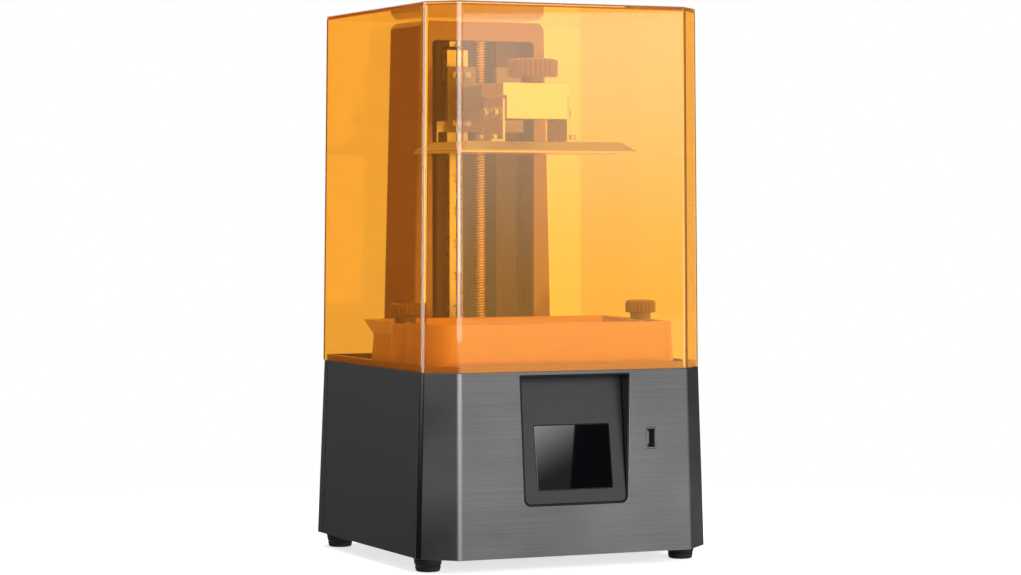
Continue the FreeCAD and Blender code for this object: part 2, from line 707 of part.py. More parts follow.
def home_sensor():
    x1 = -COLUMN_W / 2
    top = DECK_Z + 2 * SENSOR_W
    body = box(x1 - SENSOR_W, x1, COLUMN_FRONT, COLUMN_FRONT + SENSOR_W, DECK_Z, top)
    middle = x1 - SENSOR_W / 2
    return body.cut(box(middle - SENSOR_SLOT / 2, middle + SENSOR_SLOT / 2, COLUMN_FRONT,
                        COLUMN_FRONT + SENSOR_W, top - SENSOR_W, top))


# Carriage, arm and platform
CLAMP_Y = PLATFORM_Y - CLAMP_AHEAD
FLANGE_X = BRACKET_GAP_W / 2 + BRACKET_T + BRACKET_FLANGE / 2
FLANGE_SCREWS = [(sx * FLANGE_X, PLATFORM_Y + sy * BRACKET_D / 3) for sx in (-1, 1) for sy in (-1, 1)]


def carriage_plate():
    top = CARRIAGE_Z + CARRIAGE_H
    plate = box(-CARRIAGE_W / 2, CARRIAGE_W / 2, CARRIAGE_FRONT, CARRIAGE_BACK, CARRIAGE_Z, top)
    plate = plate.cut(box(-CARRIAGE_NOTCH_W / 2, CARRIAGE_NOTCH_W / 2, CARRIAGE_FRONT, CARRIAGE_BACK,
                          top - CARRIAGE_NOTCH_H, top))
    shelf = box(-NUT_SHELF_W / 2, NUT_SHELF_W / 2, CARRIAGE_BACK, SCREW_Y + NUT_FLANGE_D / 2,
                NUT_SHELF_Z, CARRIAGE_MID)
    hole = post(NUT_BODY_D + 2 * SCREW_FIT, 0, SCREW_Y, NUT_SHELF_Z, CARRIAGE_MID)
    return joined([plate, shelf]).cut(hole)


def lead_nut():
    nut = joined([post(NUT_FLANGE_D, 0, SCREW_Y, CARRIAGE_MID, CARRIAGE_MID + NUT_FLANGE_H),
                  post(NUT_BODY_D, 0, SCREW_Y, NUT_Z, CARRIAGE_MID)])
    nut = nut.cut(box(-FAR, FAR, CARRIAGE_FRONT, CARRIAGE_BACK, 0, FAR))
    return nut.cut(post(SCREW_D + 4 * PIN_FIT, 0, SCREW_Y, 0, FAR))


def z_arm():
    beam = box(-ARM_W / 2, ARM_W / 2, BLOCK_BACK, CARRIAGE_FRONT, ARM_Z, BLOCK_TOP)
    tongue = box(-TONGUE_W / 2, TONGUE_W / 2, BLOCK_FRONT + TONGUE_STOP, BLOCK_BACK,
                 TONGUE_Z, TONGUE_Z + TONGUE_H)
    return joined([beam, tongue])


def screw_holes(diameter, reach):
    holes = []
    for side in (-1, 1):
        for step in (-1, 1):
            y = PLATFORM_Y + step * LEVEL_SPACING / 2
            z = PLATFORM_TOP + LEVEL_RISE
            holes.append(rod(diameter, vec(side * reach, y, z), vec(side * FAR, y, z)))
    return holes


def pivot_pins(border):
    z = PLATFORM_TOP + LEVEL_RISE
    root = BLOCK_LOW_W / 2 - BRACKET_T
    tip = BRACKET_GAP_W / 2 + BRACKET_T + border
    return [rod(PIVOT_D + 2 * border, vec(side * root, PLATFORM_Y, z), vec(side * tip, PLATFORM_Y, z))
            for name, side in SIDES]


def platform_block():
    low = box(-BLOCK_LOW_W / 2, BLOCK_LOW_W / 2, BLOCK_FRONT, BLOCK_BACK, BLOCK_Z, BLOCK_HEAD_Z)
    head = box(-BLOCK_HEAD_W / 2, BLOCK_HEAD_W / 2, BLOCK_FRONT, BLOCK_BACK, BLOCK_HEAD_Z, BLOCK_TOP)
    socket = box(-TONGUE_W / 2 - SCREW_FIT, TONGUE_W / 2 + SCREW_FIT, BLOCK_FRONT + TONGUE_STOP - SCREW_FIT,
                 BLOCK_BACK, TONGUE_Z - SCREW_FIT, TONGUE_Z + TONGUE_H + SCREW_FIT)
    stud = post(CLAMP_STUD_D + 2 * PIN_FIT, 0, CLAMP_Y, TONGUE_Z + TONGUE_H, BLOCK_TOP)
    block = joined([low, head]).cut([socket, stud])
    block = joined([block] + pivot_pins(0))
    return block.cut(screw_holes(SCREW_SHANK_D + 2 * PIN_FIT, TONGUE_W / 2 + FIT))


def platform_bracket(side):
    x0 = BRACKET_GAP_W / 2
    y0 = PLATFORM_Y - BRACKET_D / 2
    y1 = PLATFORM_Y + BRACKET_D / 2
    leg = box(x0, x0 + BRACKET_T, y0, y1, PLATFORM_TOP, PLATFORM_TOP + BRACKET_H)
    flange = box(x0, x0 + BRACKET_T + BRACKET_FLANGE, y0, y1, PLATFORM_TOP, PLATFORM_TOP + BRACKET_T)
    bracket = joined([leg, flange])
    if side < 0:
        bracket = bracket.mirror(vec(0, 0, 0), X_AXIS)
    holes = [post(SCREW_SHANK_D + 2 * SCREW_FIT, x, y, 0, FAR) for x, y in FLANGE_SCREWS]
    holes += screw_holes(SCREW_SHANK_D + 2 * LEVEL_SLOT, 0)
    return bracket.cut(holes + pivot_pins(PIN_FIT))


def bracket_screws():
    screws = []
    for x, y in FLANGE_SCREWS:
        seat = PLATFORM_TOP + BRACKET_T
        head = post(SCREW_HEAD_D, x, y, seat, seat + SCREW_HEAD_H)
        screws.append(joined([head, post(SCREW_SHANK_D, x, y, PLATFORM_TOP - PLATFORM_SLOPE_H + FIT, seat)]))
    return Part.makeCompound(screws)


def levelling_screws():
    screws = []
    seat = BRACKET_GAP_W / 2 + BRACKET_T + FIT
    for side in (-1, 1):
        for step in (-1, 1):
            y = PLATFORM_Y + step * LEVEL_SPACING / 2
            z = PLATFORM_TOP + LEVEL_RISE
            head = rod(SCREW_HEAD_D, vec(side * seat, y, z), vec(side * (seat + SCREW_HEAD_H), y, z))
            shank = rod(SCREW_SHANK_D, vec(side * (TONGUE_W / 2 + 2 * FIT), y, z), vec(side * seat, y, z))
            screws.append(joined([head, shank]))
    return Part.makeCompound(screws)


def build_plate():
    rim = centred_box(PLATFORM_W, PLATFORM_D, PLATFORM_Z, PLATFORM_Z + PLATFORM_RIM, PLATFORM_Y)
    inset = 2 * PLATFORM_SLOPE_IN
    slope = frustum(rectangle(PLATFORM_W, PLATFORM_D, PLATFORM_Y, PLATFORM_Z + PLATFORM_RIM),
                    rectangle(PLATFORM_W - inset, PLATFORM_D - inset, PLATFORM_Y, PLATFORM_TOP))
    plate = joined([rim, slope])
    bottom = PLATFORM_TOP - PLATFORM_SLOPE_H
    bore = SCREW_SHANK_D + 2 * PIN_FIT
    return plate.cut([post(bore, x, y, bottom, PLATFORM_TOP) for x, y in FLANGE_SCREWS])


def clamp_knob():
    neck_z = BLOCK_TOP + FIT
    head_z = neck_z + CLAMP_NECK_H
    return joined([post(CLAMP_STUD_D, 0, CLAMP_Y, TONGUE_Z + TONGUE_H + FIT, neck_z),
                   post(CLAMP_NECK_D, 0, CLAMP_Y, neck_z, head_z),
                   post(CLAMP_HEAD_D, 0, CLAMP_Y, head_z, head_z + CLAMP_HEAD_H)])


# Vat with its film, rails and thumb screws
VAT_LIP_Z = VAT_RIM - LIP_START
VAT_FLOOR_Z = VAT_Z + FILM_T + FILM_FRAME_T + VAT_FLOOR
EAR_TOP = VAT_RIM - EAR_DROP
WELL_W = PLATFORM_W + 2 * VAT_MARGIN
WELL_D = PLATFORM_D + 2 * VAT_MARGIN
FRAME_W = WELL_W + 2 * FILM_FRAME_W
FRAME_D = WELL_D + 2 * FILM_FRAME_W


def rounded_wire(front_x, rear_x, y0, y1, z, front_r, rear_r):
    edges = []
    corners = [(front_x, y0), (rear_x, y1), (-rear_x, y1), (-front_x, y0)]
    arcs = []
    for number, (px, py) in enumerate(corners):
        start = (number - 1) * QUARTER_TURN
        radius = front_r if py == y0 else rear_r
        cx = px - math.copysign(radius, px)
        cy = py + radius if py == y0 else py - radius
        arcs.append(Part.makeCircle(radius, vec(cx, cy, z), Z_AXIS, start, start + QUARTER_TURN))
    for number, arc in enumerate(arcs):
        following = arcs[(number + 1) % len(arcs)]
        edges.append(arc)
        edges.append(Part.makeLine(arc.Vertexes[-1].Point, following.Vertexes[0].Point))
    return Part.Wire(edges)


def vat_form(inset, z0, z1):
    front_r = VAT_CORNER_R - inset
    rear_r = VAT_REAR_R - inset
    foot_x = VAT_W / 2 + VAT_DRAFT - inset
    rim_x = VAT_W / 2 - inset
    y0 = VAT_FRONT_Y + inset
    y1 = VAT_BACK_Y - inset
    foot = rounded_wire(foot_x, foot_x, y0, y1, z0, front_r, rear_r)
    waist = rounded_wire(rim_x, rim_x, y0, y1, VAT_LIP_Z, front_r, rear_r)
    rim = rounded_wire(rim_x, rim_x + LIP_FLARE, y0, y1 + LIP_REACH, z1, front_r, LIP_CORNER_R - inset)
    low = Part.makeLoft([foot, waist], True, True)
    high = Part.makeLoft([waist, rim], True, True)
    return joined([low, high])


def vat_body():
    ears = [post(2 * EAR_R, side * VAT_KNOB_X, PLATFORM_Y, VAT_Z, EAR_TOP) for name, side in SIDES]
    studs = [post(VAT_STUD_D + 2 * SCREW_FIT, side * VAT_KNOB_X, PLATFORM_Y, 0, FAR) for name, side in SIDES]
    shell = vat_form(0, VAT_Z, VAT_RIM).cut(vat_form(VAT_WALL, VAT_FLOOR_Z, VAT_RIM))
    shell = joined([shell] + ears)
    seats = [post(VAT_NECK_D + 2 * FIT, side * VAT_KNOB_X, PLATFORM_Y, EAR_TOP, FAR) for name, side in SIDES]
    frame_room = centred_box(FRAME_W + 2 * SCREW_FIT, FRAME_D + 2 * SCREW_FIT, VAT_Z,
                             VAT_FLOOR_Z - VAT_FLOOR, PLATFORM_Y)
    well = centred_box(WELL_W, WELL_D, VAT_Z, VAT_FLOOR_Z, PLATFORM_Y)
    return shell.cut([frame_room, well] + studs + seats)


def release_film():
    return centred_box(FRAME_W, FRAME_D, VAT_Z, VAT_Z + FILM_T, PLATFORM_Y)


def film_frame():
    z0 = VAT_Z + FILM_T
    return ring_boxes(FRAME_W, FRAME_D, WELL_W, WELL_D, z0, z0 + FILM_FRAME_T, PLATFORM_Y)


def vat_rails():
    rails = []
    for name, side in SIDES:
        middle = side * (VAT_KNOB_X + VAT_RAIL_OUT - VAT_RAIL_W / 2)
        rail = centred_box(VAT_RAIL_W, VAT_D + 2 * VAT_RAIL_OVERHANG, DECK_Z, RAIL_TOP, PLATFORM_Y, middle)
        rails.append(rail.cut(post(VAT_STUD_D + 2 * SCREW_FIT, side * VAT_KNOB_X, PLATFORM_Y, 0, FAR)))
    return Part.makeCompound(rails)


def vat_knob(side):
    x = side * VAT_KNOB_X
    neck_z = EAR_TOP + FIT
    head_z = neck_z + VAT_NECK_H
    return joined([post(VAT_STUD_D, x, PLATFORM_Y, DECK_UNDER - VAT_STUD_GRIP, neck_z),
                   post(VAT_NECK_D, x, PLATFORM_Y, neck_z, head_z),
                   post(VAT_KNOB_D, x, PLATFORM_Y, head_z, head_z + VAT_KNOB_H)])


# Light engine under the mask screen
def lcd_panel():
    return centred_box(LCD_W, LCD_D, LCD_TOP - LCD_T, LCD_TOP, PLATFORM_Y)


def lcd_frame():
    return ring_boxes(LCD_W, LCD_D, LIGHT_W, LIGHT_D, DECK_Z, LCD_TOP - LCD_T, PLATFORM_Y)


def light_hood():
    wall = 2 * HOOD_WALL
    outer = frustum(rectangle(HOOD_FOOT_W, HOOD_FOOT_D, PLATFORM_Y, HOOD_Z),
                    rectangle(LIGHT_W + wall, LIGHT_D + wall, PLATFORM_Y, DECK_UNDER))
    inner = frustum(rectangle(HOOD_FOOT_W - wall, HOOD_FOOT_D - wall, PLATFORM_Y, HOOD_Z),
                    rectangle(LIGHT_W, LIGHT_D, PLATFORM_Y, DECK_UNDER))
    return outer.cut(inner)


def led_board():
    return centred_box(HOOD_FOOT_W, HOOD_FOOT_D, LED_Z, HOOD_Z, PLATFORM_Y)


def lens_plate():
    border = 2 * (HOOD_WALL + FIT)
    return centred_box(HOOD_FOOT_W - border, HOOD_FOOT_D - border, HOOD_Z, HOOD_Z + LENS_T, PLATFORM_Y)


def led_heat_sink():
    pieces = [centred_box(HOOD_FOOT_W, HOOD_FOOT_D, SINK_Z, LED_Z, PLATFORM_Y)]
    pitch = (HOOD_FOOT_W - SINK_FIN_T) / (SINK_FINS - 1)
    for number in range(SINK_FINS):
        x = (number - (SINK_FINS - 1) / 2) * pitch
        pieces.append(centred_box(SINK_FIN_T, HOOD_FOOT_D, FIN_Z, SINK_Z, PLATFORM_Y, x))
    return joined(pieces)


# Control board and the screen's ribbon cable
RIBBON_SLOPE = math.radians(RECESS_LEAN)
RIBBON_Y = (RECESS_Y0 + (BEZEL_T + DISPLAY_T) / math.cos(RIBBON_SLOPE)
            + RIBBON_RISE * math.tan(RIBBON_SLOPE))
BOARD_TOP = BOARD_Z + BOARD_T
BOARD_FRONT = BOARD_Y - BOARD_D / 2


def main_board():
    pieces = [centred_box(BOARD_W, BOARD_D, BOARD_Z, BOARD_TOP, BOARD_Y, BOARD_X)]
    for share in (-1, 0, 1):
        x = BOARD_X + share * BOARD_W / 3
        pieces.append(centred_box(BOARD_W / 6, BOARD_D / 4, BOARD_TOP, BOARD_TOP + CHIP_H, BOARD_Y, x))
    return joined(pieces)


def board_standoffs():
    pillars = []
    for sx in (-1, 1):
        for sy in (-1, 1):
            x = BOARD_X + sx * (BOARD_W / 2 - STANDOFF_D)
            y = BOARD_Y + sy * (BOARD_D / 2 - STANDOFF_D)
            pillars.append(post(STANDOFF_D, x, y, FLOOR_Z, BOARD_Z))
    return Part.makeCompound(pillars)


def display_ribbon():
    half = RIBBON_W / 2
    drop = box(-half, half, RIBBON_Y, RIBBON_Y + RIBBON_T, BOARD_TOP, RECESS_Z0 + RIBBON_RISE)
    run = box(-half, half, RIBBON_Y, BOARD_FRONT + RIBBON_W, BOARD_TOP, BOARD_TOP + RIBBON_T)
    return joined([drop, run])


def home_flag():
    x1 = -CARRIAGE_W / 2
    x0 = -COLUMN_W / 2 - SENSOR_W / 2 - FLAG_T / 2
    tab = box(x0, x1, CARRIAGE_BACK - FLAG_T, CARRIAGE_BACK, CARRIAGE_Z, CARRIAGE_Z + SENSOR_W)
    blade = box(x0, x0 + FLAG_T, CARRIAGE_BACK - FLAG_T, COLUMN_FRONT + SENSOR_W * 0.75,
                CARRIAGE_Z - FLAG_DROP, CARRIAGE_Z + SENSOR_W)
    return joined([tab, blade])


nodes = {
    "base_plate": base_plate(), "chassis_posts": chassis_posts(), "case_screws": case_screws(),
    "top_deck": top_deck(), "cover": cover(), "usb_port": usb_port(), "dc_jack": dc_jack(),
    "switch_housing": switch_housing(), "switch_rocker": switch_rocker(),
    "exhaust_fan_frame": exhaust_fan_place(fan_frame(EXHAUST_FAN_W, EXHAUST_FAN_T)),
    "exhaust_fan_rotor": exhaust_fan_place(fan_rotor(EXHAUST_FAN_W, EXHAUST_FAN_T)),
    "led_fan_frame": led_fan_place(fan_frame(LED_FAN_W, LED_FAN_T)),
    "led_fan_rotor": led_fan_place(fan_rotor(LED_FAN_W, LED_FAN_T)),
    "tower_cover": tower_cover(), "z_motor": z_motor(), "lead_screw": lead_screw(), "z_column": z_column(),
    "linear_rails": linear_rails(), "rail_blocks": rail_blocks(), "home_sensor": home_sensor(),
    "home_flag": home_flag(), "carriage_plate": carriage_plate(), "lead_nut": lead_nut(), "z_arm": z_arm(),
    "platform_block": platform_block(), "bracket_screws": bracket_screws(),
    "levelling_screws": levelling_screws(), "build_plate": build_plate(), "clamp_knob": clamp_knob(),
    "vat_body": vat_body(), "release_film": release_film(), "film_frame": film_frame(),
    "vat_rails": vat_rails(), "lcd_panel": lcd_panel(), "lcd_frame": lcd_frame(), "light_hood": light_hood(),
    "led_board": led_board(), "lens_plate": lens_plate(), "led_heat_sink": led_heat_sink(),
    "main_board": main_board(), "board_standoffs": board_standoffs(), "display_ribbon": display_ribbon(),
}
nodes.update(case_panels())
nodes.update(screen_pieces())
for name, place in FOOT_PLACES.items():
    nodes[name] = foot(*place)
for name, side in SIDES:
    nodes[name + "_bracket"] = platform_bracket(side)
    nodes[name + "_vat_knob"] = vat_knob(side)

os.makedirs("parts", exist_ok=True)
for name, shape in nodes.items():
    shape.exportStep("parts/" + name + ".step")
    size = shape.BoundBox
    print(name, len(shape.Solids), shape.isValid(), round(shape.Volume, 1),
          [round(v, 1) for v in (size.XMin, size.XMax, size.YMin, size.YMax, size.ZMin, size.ZMax)])
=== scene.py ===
# %% [markdown]
# # A desktop resin printer, dressed over its CAD frame
# The solids give each piece its place and size. This lesson gives them the soft edges, threads, flutes and finishes
# that a real machine shows. Blender counts in metres. Below, sizes of the machine are written in millimetres, and
# sizes of the set around it, such as the lamps and cards, in metres.

# %% Load the frame
import json
from math import atan2, pi, radians, sqrt, tau

import bpy
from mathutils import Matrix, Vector

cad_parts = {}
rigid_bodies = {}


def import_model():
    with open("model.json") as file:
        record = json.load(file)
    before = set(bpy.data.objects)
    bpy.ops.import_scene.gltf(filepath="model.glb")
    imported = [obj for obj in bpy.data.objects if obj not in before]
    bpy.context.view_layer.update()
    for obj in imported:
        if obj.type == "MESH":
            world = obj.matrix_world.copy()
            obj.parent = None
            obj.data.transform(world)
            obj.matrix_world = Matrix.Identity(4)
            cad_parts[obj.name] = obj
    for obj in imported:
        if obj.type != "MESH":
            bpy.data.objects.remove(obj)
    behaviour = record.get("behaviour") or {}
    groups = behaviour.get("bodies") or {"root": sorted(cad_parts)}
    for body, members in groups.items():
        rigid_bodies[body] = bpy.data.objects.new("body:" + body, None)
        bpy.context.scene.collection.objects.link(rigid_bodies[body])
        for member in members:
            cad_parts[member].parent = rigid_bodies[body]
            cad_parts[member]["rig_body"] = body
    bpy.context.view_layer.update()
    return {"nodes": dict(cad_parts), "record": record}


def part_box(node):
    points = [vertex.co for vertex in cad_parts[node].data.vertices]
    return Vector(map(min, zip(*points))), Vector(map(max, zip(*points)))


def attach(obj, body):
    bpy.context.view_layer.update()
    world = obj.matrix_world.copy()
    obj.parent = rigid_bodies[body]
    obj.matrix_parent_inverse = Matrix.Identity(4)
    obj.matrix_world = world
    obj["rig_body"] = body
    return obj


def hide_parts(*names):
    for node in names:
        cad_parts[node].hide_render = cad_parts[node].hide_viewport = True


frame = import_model()
MM = 0.001

# %% [markdown]
# ## Camera
# The picture was taken with a long lens from the front left, a little above the deck. A camera fitted to the case's
# edges gives the place, the turn and the lens, so the render can be laid over the photograph.

# %% Camera at the photograph's angle
CAMERA_PLACE = (-0.9017, -2.0144, 0.2526)
CAMERA_TURN = (radians(88.434), 0, radians(-24.084))
SENSOR_MM = 36
LENS_MM = 107.81
scene = bpy.context.scene
scene.view_settings.view_transform = "Standard"
bpy.ops.object.select_all(action="DESELECT")
bpy.ops.object.camera_add(location=CAMERA_PLACE, rotation=CAMERA_TURN)
camera = bpy.context.object
camera.data.sensor_fit = "HORIZONTAL"
camera.data.sensor_width = SENSOR_MM
camera.data.lens = LENS_MM
scene.camera = camera
print("camera", [round(v, 3) for v in camera.location])

# %% [markdown]
# ## Hand tools
# Modelling by hand is always the same round: select one object, go into edit mode, select by place, use an operator,
# come back. These helpers keep that round short. `choose` selects by a test on millimetre places, so each later cell
# can say which edge or face it means.

# %% Selecting
def only(obj):
    """Leaves obj alone selected, in object mode."""
    if bpy.context.mode != "OBJECT":
        bpy.ops.object.mode_set(mode="OBJECT")
    bpy.ops.object.select_all(action="DESELECT")
    obj.select_set(True)
    bpy.context.view_layer.objects.active = obj


def choose(obj, kind, test):
    """Goes into edit mode with just the VERT, EDGE or FACE elements selected that pass the test."""
    only(obj)
    bpy.context.tool_settings.mesh_select_mode = (kind == "VERT", kind == "EDGE", kind == "FACE")
    bpy.ops.object.mode_set(mode="EDIT")
    bpy.ops.mesh.select_all(action="DESELECT")
    bpy.ops.object.mode_set(mode="OBJECT")
    mesh = obj.data
    if kind == "VERT":
        for vertex in mesh.vertices:
            vertex.select = test(vertex.co / MM)
    elif kind == "EDGE":
        for edge in mesh.edges:
            edge.select = test(*[mesh.vertices[i].co / MM for i in edge.vertices])
    else:
        for face in mesh.polygons:
            face.select = test(face.center / MM, face.normal)
    bpy.ops.object.mode_set(mode="EDIT")


def everything(obj):
    """Goes into edit mode with the whole mesh selected."""
    choose(obj, "VERT", lambda co: True)


def done():
    """Goes back to object mode."""
    bpy.ops.object.mode_set(mode="OBJECT")


def near(a, b, slack=0.05):
    """Says whether two millimetre values agree."""
    return abs(a - b) < slack


# %% Starting shapes
def millimetres(box):
    """A box's two corners in millimetres."""
    return [corner / MM for corner in box]


def settle(obj):
    """Puts the object's place, turn and size into its mesh."""
    only(obj)
    bpy.ops.object.transform_apply(location=True, rotation=True, scale=True)
    return obj


def cube(name, low, high):
    """A cube added between two corners."""
    low, high = Vector(low) * MM, Vector(high) * MM
    bpy.ops.object.select_all(action="DESELECT")
    bpy.ops.mesh.primitive_cube_add(size=1, location=(low + high) / 2, scale=high - low)
    obj = bpy.context.object
    obj.name = name
    return settle(obj)


def cylinder(name, diameter, start, end, sides=48):
    """A cylinder added between the middles of its two ends."""
    start, end = Vector(start) * MM, Vector(end) * MM
    run = end - start
    turn = run.to_track_quat("Z", "Y").to_euler()
    bpy.ops.object.select_all(action="DESELECT")
    bpy.ops.mesh.primitive_cylinder_add(vertices=sides, radius=diameter * MM / 2, depth=run.length,
                                        location=(start + end) / 2, rotation=turn)
    obj = bpy.context.object
    obj.name = name
    return settle(obj)


# %% Rounding, shading and cutting
def bevel(width, segments):
    """Bevels the edges that are selected in edit mode."""
    bpy.ops.mesh.bevel(offset=width * MM, segments=segments, affect="EDGES")


def apply(obj, kind, **settings):
    """Adds a modifier and applies it."""
    only(obj)
    modifier = obj.modifiers.new(kind.title(), kind)
    for key, value in settings.items():
        setattr(modifier, key, value)
    bpy.ops.object.modifier_apply(modifier=modifier.name)
    return obj


def smooth(obj, angle=35):
    """Shades smooth, with edges sharper than the angle kept crisp."""
    only(obj)
    bpy.ops.object.shade_smooth_by_angle(angle=radians(angle))
    return obj


def flat_faces(obj):
    """Weights the shading by face size, so that a large face beside a rounded edge looks flat."""
    return apply(obj, "WEIGHTED_NORMAL", keep_sharp=True, weight=100)


def soften(obj, width, segments=2, angle=30):
    """Rounds every edge sharper than the angle and shades it smooth, with the large faces kept flat."""
    apply(obj, "BEVEL", width=width * MM, segments=segments, limit_method="ANGLE",
          angle_limit=radians(angle), use_clamp_overlap=False)
    return flat_faces(smooth(obj))


def cut(obj, tool):
    """Takes the tool's shape out of obj and throws the tool away."""
    apply(obj, "BOOLEAN", operation="DIFFERENCE", object=tool, solver="EXACT")
    bpy.data.objects.remove(tool)
    return obj


# %% Joining, copying and turning
WELD = MM / 200


def join(name, pieces):
    """Makes one object of several that belong together."""
    only(pieces[0])
    for piece in pieces[1:]:
        piece.select_set(True)
    bpy.ops.object.join()
    pieces[0].name = name
    return pieces[0]


def twin(obj, name, shift=(0, 0, 0), turn=(0, 0, 0)):
    """A copy with its own mesh, turned by three angles in degrees and moved by a shift."""
    copy = bpy.data.objects.new(name, obj.data.copy())
    scene.collection.objects.link(copy)
    copy.location = Vector(shift) * MM
    copy.rotation_euler = [radians(angle) for angle in turn]
    return settle(copy)


def drawn(name, outline):
    """Draws an outline of (distance from the axis, height) points, each extruded from the one before."""
    bpy.ops.object.select_all(action="DESELECT")
    bpy.ops.mesh.primitive_plane_add(size=MM)
    obj = bpy.context.object
    obj.name = name
    everything(obj)
    bpy.ops.mesh.merge(type="CENTER")
    bpy.ops.transform.translate(value=(outline[0][0] * MM, 0, outline[0][1] * MM))
    for (r0, z0), (r1, z1) in zip(outline, outline[1:]):
        step = ((r1 - r0) * MM, 0, (z1 - z0) * MM)
        bpy.ops.mesh.extrude_vertices_move(TRANSFORM_OT_translate={"value": step})
    done()
    return obj


def close_up(obj):
    """Merges doubled points and turns every face outwards."""
    everything(obj)
    bpy.ops.mesh.remove_doubles(threshold=WELD)
    bpy.ops.mesh.normals_make_consistent(inside=False)
    done()
    return obj


def turned(name, outline, at, steps=48):
    """Spins a drawn outline round the Z axis and stands it at a place."""
    obj = drawn(name, outline)
    everything(obj)
    bpy.ops.mesh.spin(steps=steps, angle=tau, center=(0, 0, 0), axis=(0, 0, 1))
    done()
    obj.location = Vector(at) * MM
    return settle(close_up(obj))


# %% [markdown]
# ## Surface effects that several finishes share
# Moulded plastic, coated sheet and machined metal all differ a little from place to place. Each effect is a node
# group: it reads the piece's own Object coordinates, so the pattern stays put when the piece moves, and it gives back
# a colour, a roughness and a height. The shader itself stays in each material.

# %% Node helpers
def node(tree, kind, sockets=None, **settings):
    """Adds a node; a socket is given a link if the value is another node's output, and a number otherwise."""
    made = tree.nodes.new("ShaderNode" + kind)
    for key, value in settings.items():
        setattr(made, key, value)
    for key, value in (sockets or {}).items():
        if isinstance(value, bpy.types.NodeSocket):
            tree.links.new(value, made.inputs[key])
        else:
            made.inputs[key].default_value = value
    return made


def new_group(name, inputs, outputs):
    """An empty node group with named sockets; returns the tree, its inputs and a node for its outputs."""
    tree = bpy.data.node_groups.new(name, "ShaderNodeTree")
    kinds = {"colour": "NodeSocketColor", "value": "NodeSocketFloat"}
    for label, kind, start in inputs:
        socket = tree.interface.new_socket(label, in_out="INPUT", socket_type=kinds[kind])
        socket.default_value = start
    for label, kind in outputs:
        tree.interface.new_socket(label, in_out="OUTPUT", socket_type=kinds[kind])
    way_in = tree.nodes.new("NodeGroupInput")
    return tree, way_in.outputs, tree.nodes.new("NodeGroupOutput")


def reckon(tree, operation, first, second):
    """One step of arithmetic on two values."""
    return node(tree, "Math", {0: first, 1: second}, operation=operation).outputs[0]


def pattern(tree, stretch, size, detail=3.0):
    """Noise on Object coordinates, stretched per axis; size is in cells per metre."""
    place = node(tree, "TexCoord").outputs["Object"]
    mapped = node(tree, "Mapping", {"Vector": place, "Scale": stretch}).outputs[0]
    return node(tree, "TexNoise", {"Vector": mapped, "Scale": size, "Detail": detail}).outputs[0]


def about(tree, noise, amount, middle):
    """Turns a noise value between 0 and 1 into one that swings about a middle by an amount."""
    swing = reckon(tree, "SUBTRACT", noise, 0.5)
    return reckon(tree, "ADD", reckon(tree, "MULTIPLY", swing, amount), middle)


def toned(tree, colour, factor):
    """A colour made lighter or darker by a factor."""
    return node(tree, "VectorMath", {0: colour, 3: factor}, operation="SCALE").outputs[0]


SURFACE_IN = [("Colour", "colour", (0.5, 0.5, 0.5, 1)), ("Roughness", "value", 0.5),
              ("Size", "value", 900.0), ("Variation", "value", 0.3)]
SURFACE_OUT = [("Colour", "colour"), ("Roughness", "value"), ("Height", "value")]
print("surface groups take", [label for label, kind, start in SURFACE_IN])


# %% Grain, lines and dust
EVEN = (1, 1, 1)
ROUGHNESS_SHARE = 0.3
DUST_COLOUR = (0.55, 0.54, 0.52, 1)
DUST_SWING = 0.6


def surface_group(name, stretch, cloud):
    """Fine cells, stretched as asked, over a slow cloudy change of tone."""
    tree, given, out = new_group(name, SURFACE_IN, SURFACE_OUT)
    fine = pattern(tree, stretch, given["Size"])
    slow = pattern(tree, EVEN, cloud, 2.0)
    mean = reckon(tree, "MULTIPLY", reckon(tree, "ADD", fine, slow), 0.5)
    tone = about(tree, mean, given["Variation"], 1.0)
    tree.links.new(toned(tree, given["Colour"], tone), out.inputs["Colour"])
    less = reckon(tree, "MULTIPLY", given["Variation"], ROUGHNESS_SHARE)
    tree.links.new(about(tree, mean, less, given["Roughness"]), out.inputs["Roughness"])
    tree.links.new(fine, out.inputs["Height"])
    return tree


def dust_group():
    """A thin pale film on faces that look up, thicker in clouds.

    It dulls what it lies on: a place with no film is half of DUST_SWING smoother than the roughness given.
    """
    tree, given, out = new_group("Settled dust", SURFACE_IN, SURFACE_OUT[:2])
    facing = node(tree, "SeparateXYZ", {0: node(tree, "TexCoord").outputs["Normal"]}).outputs["Z"]
    upward = reckon(tree, "MAXIMUM", facing, 0.0)
    clouds = pattern(tree, EVEN, given["Size"], 4.0)
    film = reckon(tree, "MULTIPLY", upward, clouds)
    share = reckon(tree, "MULTIPLY", film, given["Variation"])
    pale = node(tree, "Mix", {0: share, 6: given["Colour"], 7: DUST_COLOUR}, data_type="RGBA")
    tree.links.new(pale.outputs[2], out.inputs["Colour"])
    tree.links.new(about(tree, share, DUST_SWING, given["Roughness"]), out.inputs["Roughness"])
    return tree


GRAIN = surface_group("Moulded grain", EVEN, 40.0)
BRUSH = surface_group("Brushed lines", (0.004, 0.004, 1), 12.0)
DRAWN = surface_group("Drawn metal", (1, 1, 0.02), 60.0)
DUST = dust_group()
print("groups", [g.name for g in bpy.data.node_groups])

# %% [markdown]
# ## Finishes
# A finish is one Principled shader fed by a surface group. Numbers that hold all over the piece, such as metal or not,
# go straight onto the shader. Every CAD node starts with the finish of its slot; nodes that stay as they are, deep
# inside the case, keep it. Four finishes belong to no slot and are laid over one later: rolled steel on the lead screw
# with a darker steel in its thread roots as painted shade, milled metal on the build plate, and a softer grey on the
# knobs.

# %% How a finish is made
FINISH = {}
BUMP_DEPTH = 0.0002
DUST_CLOUDS = 35.0


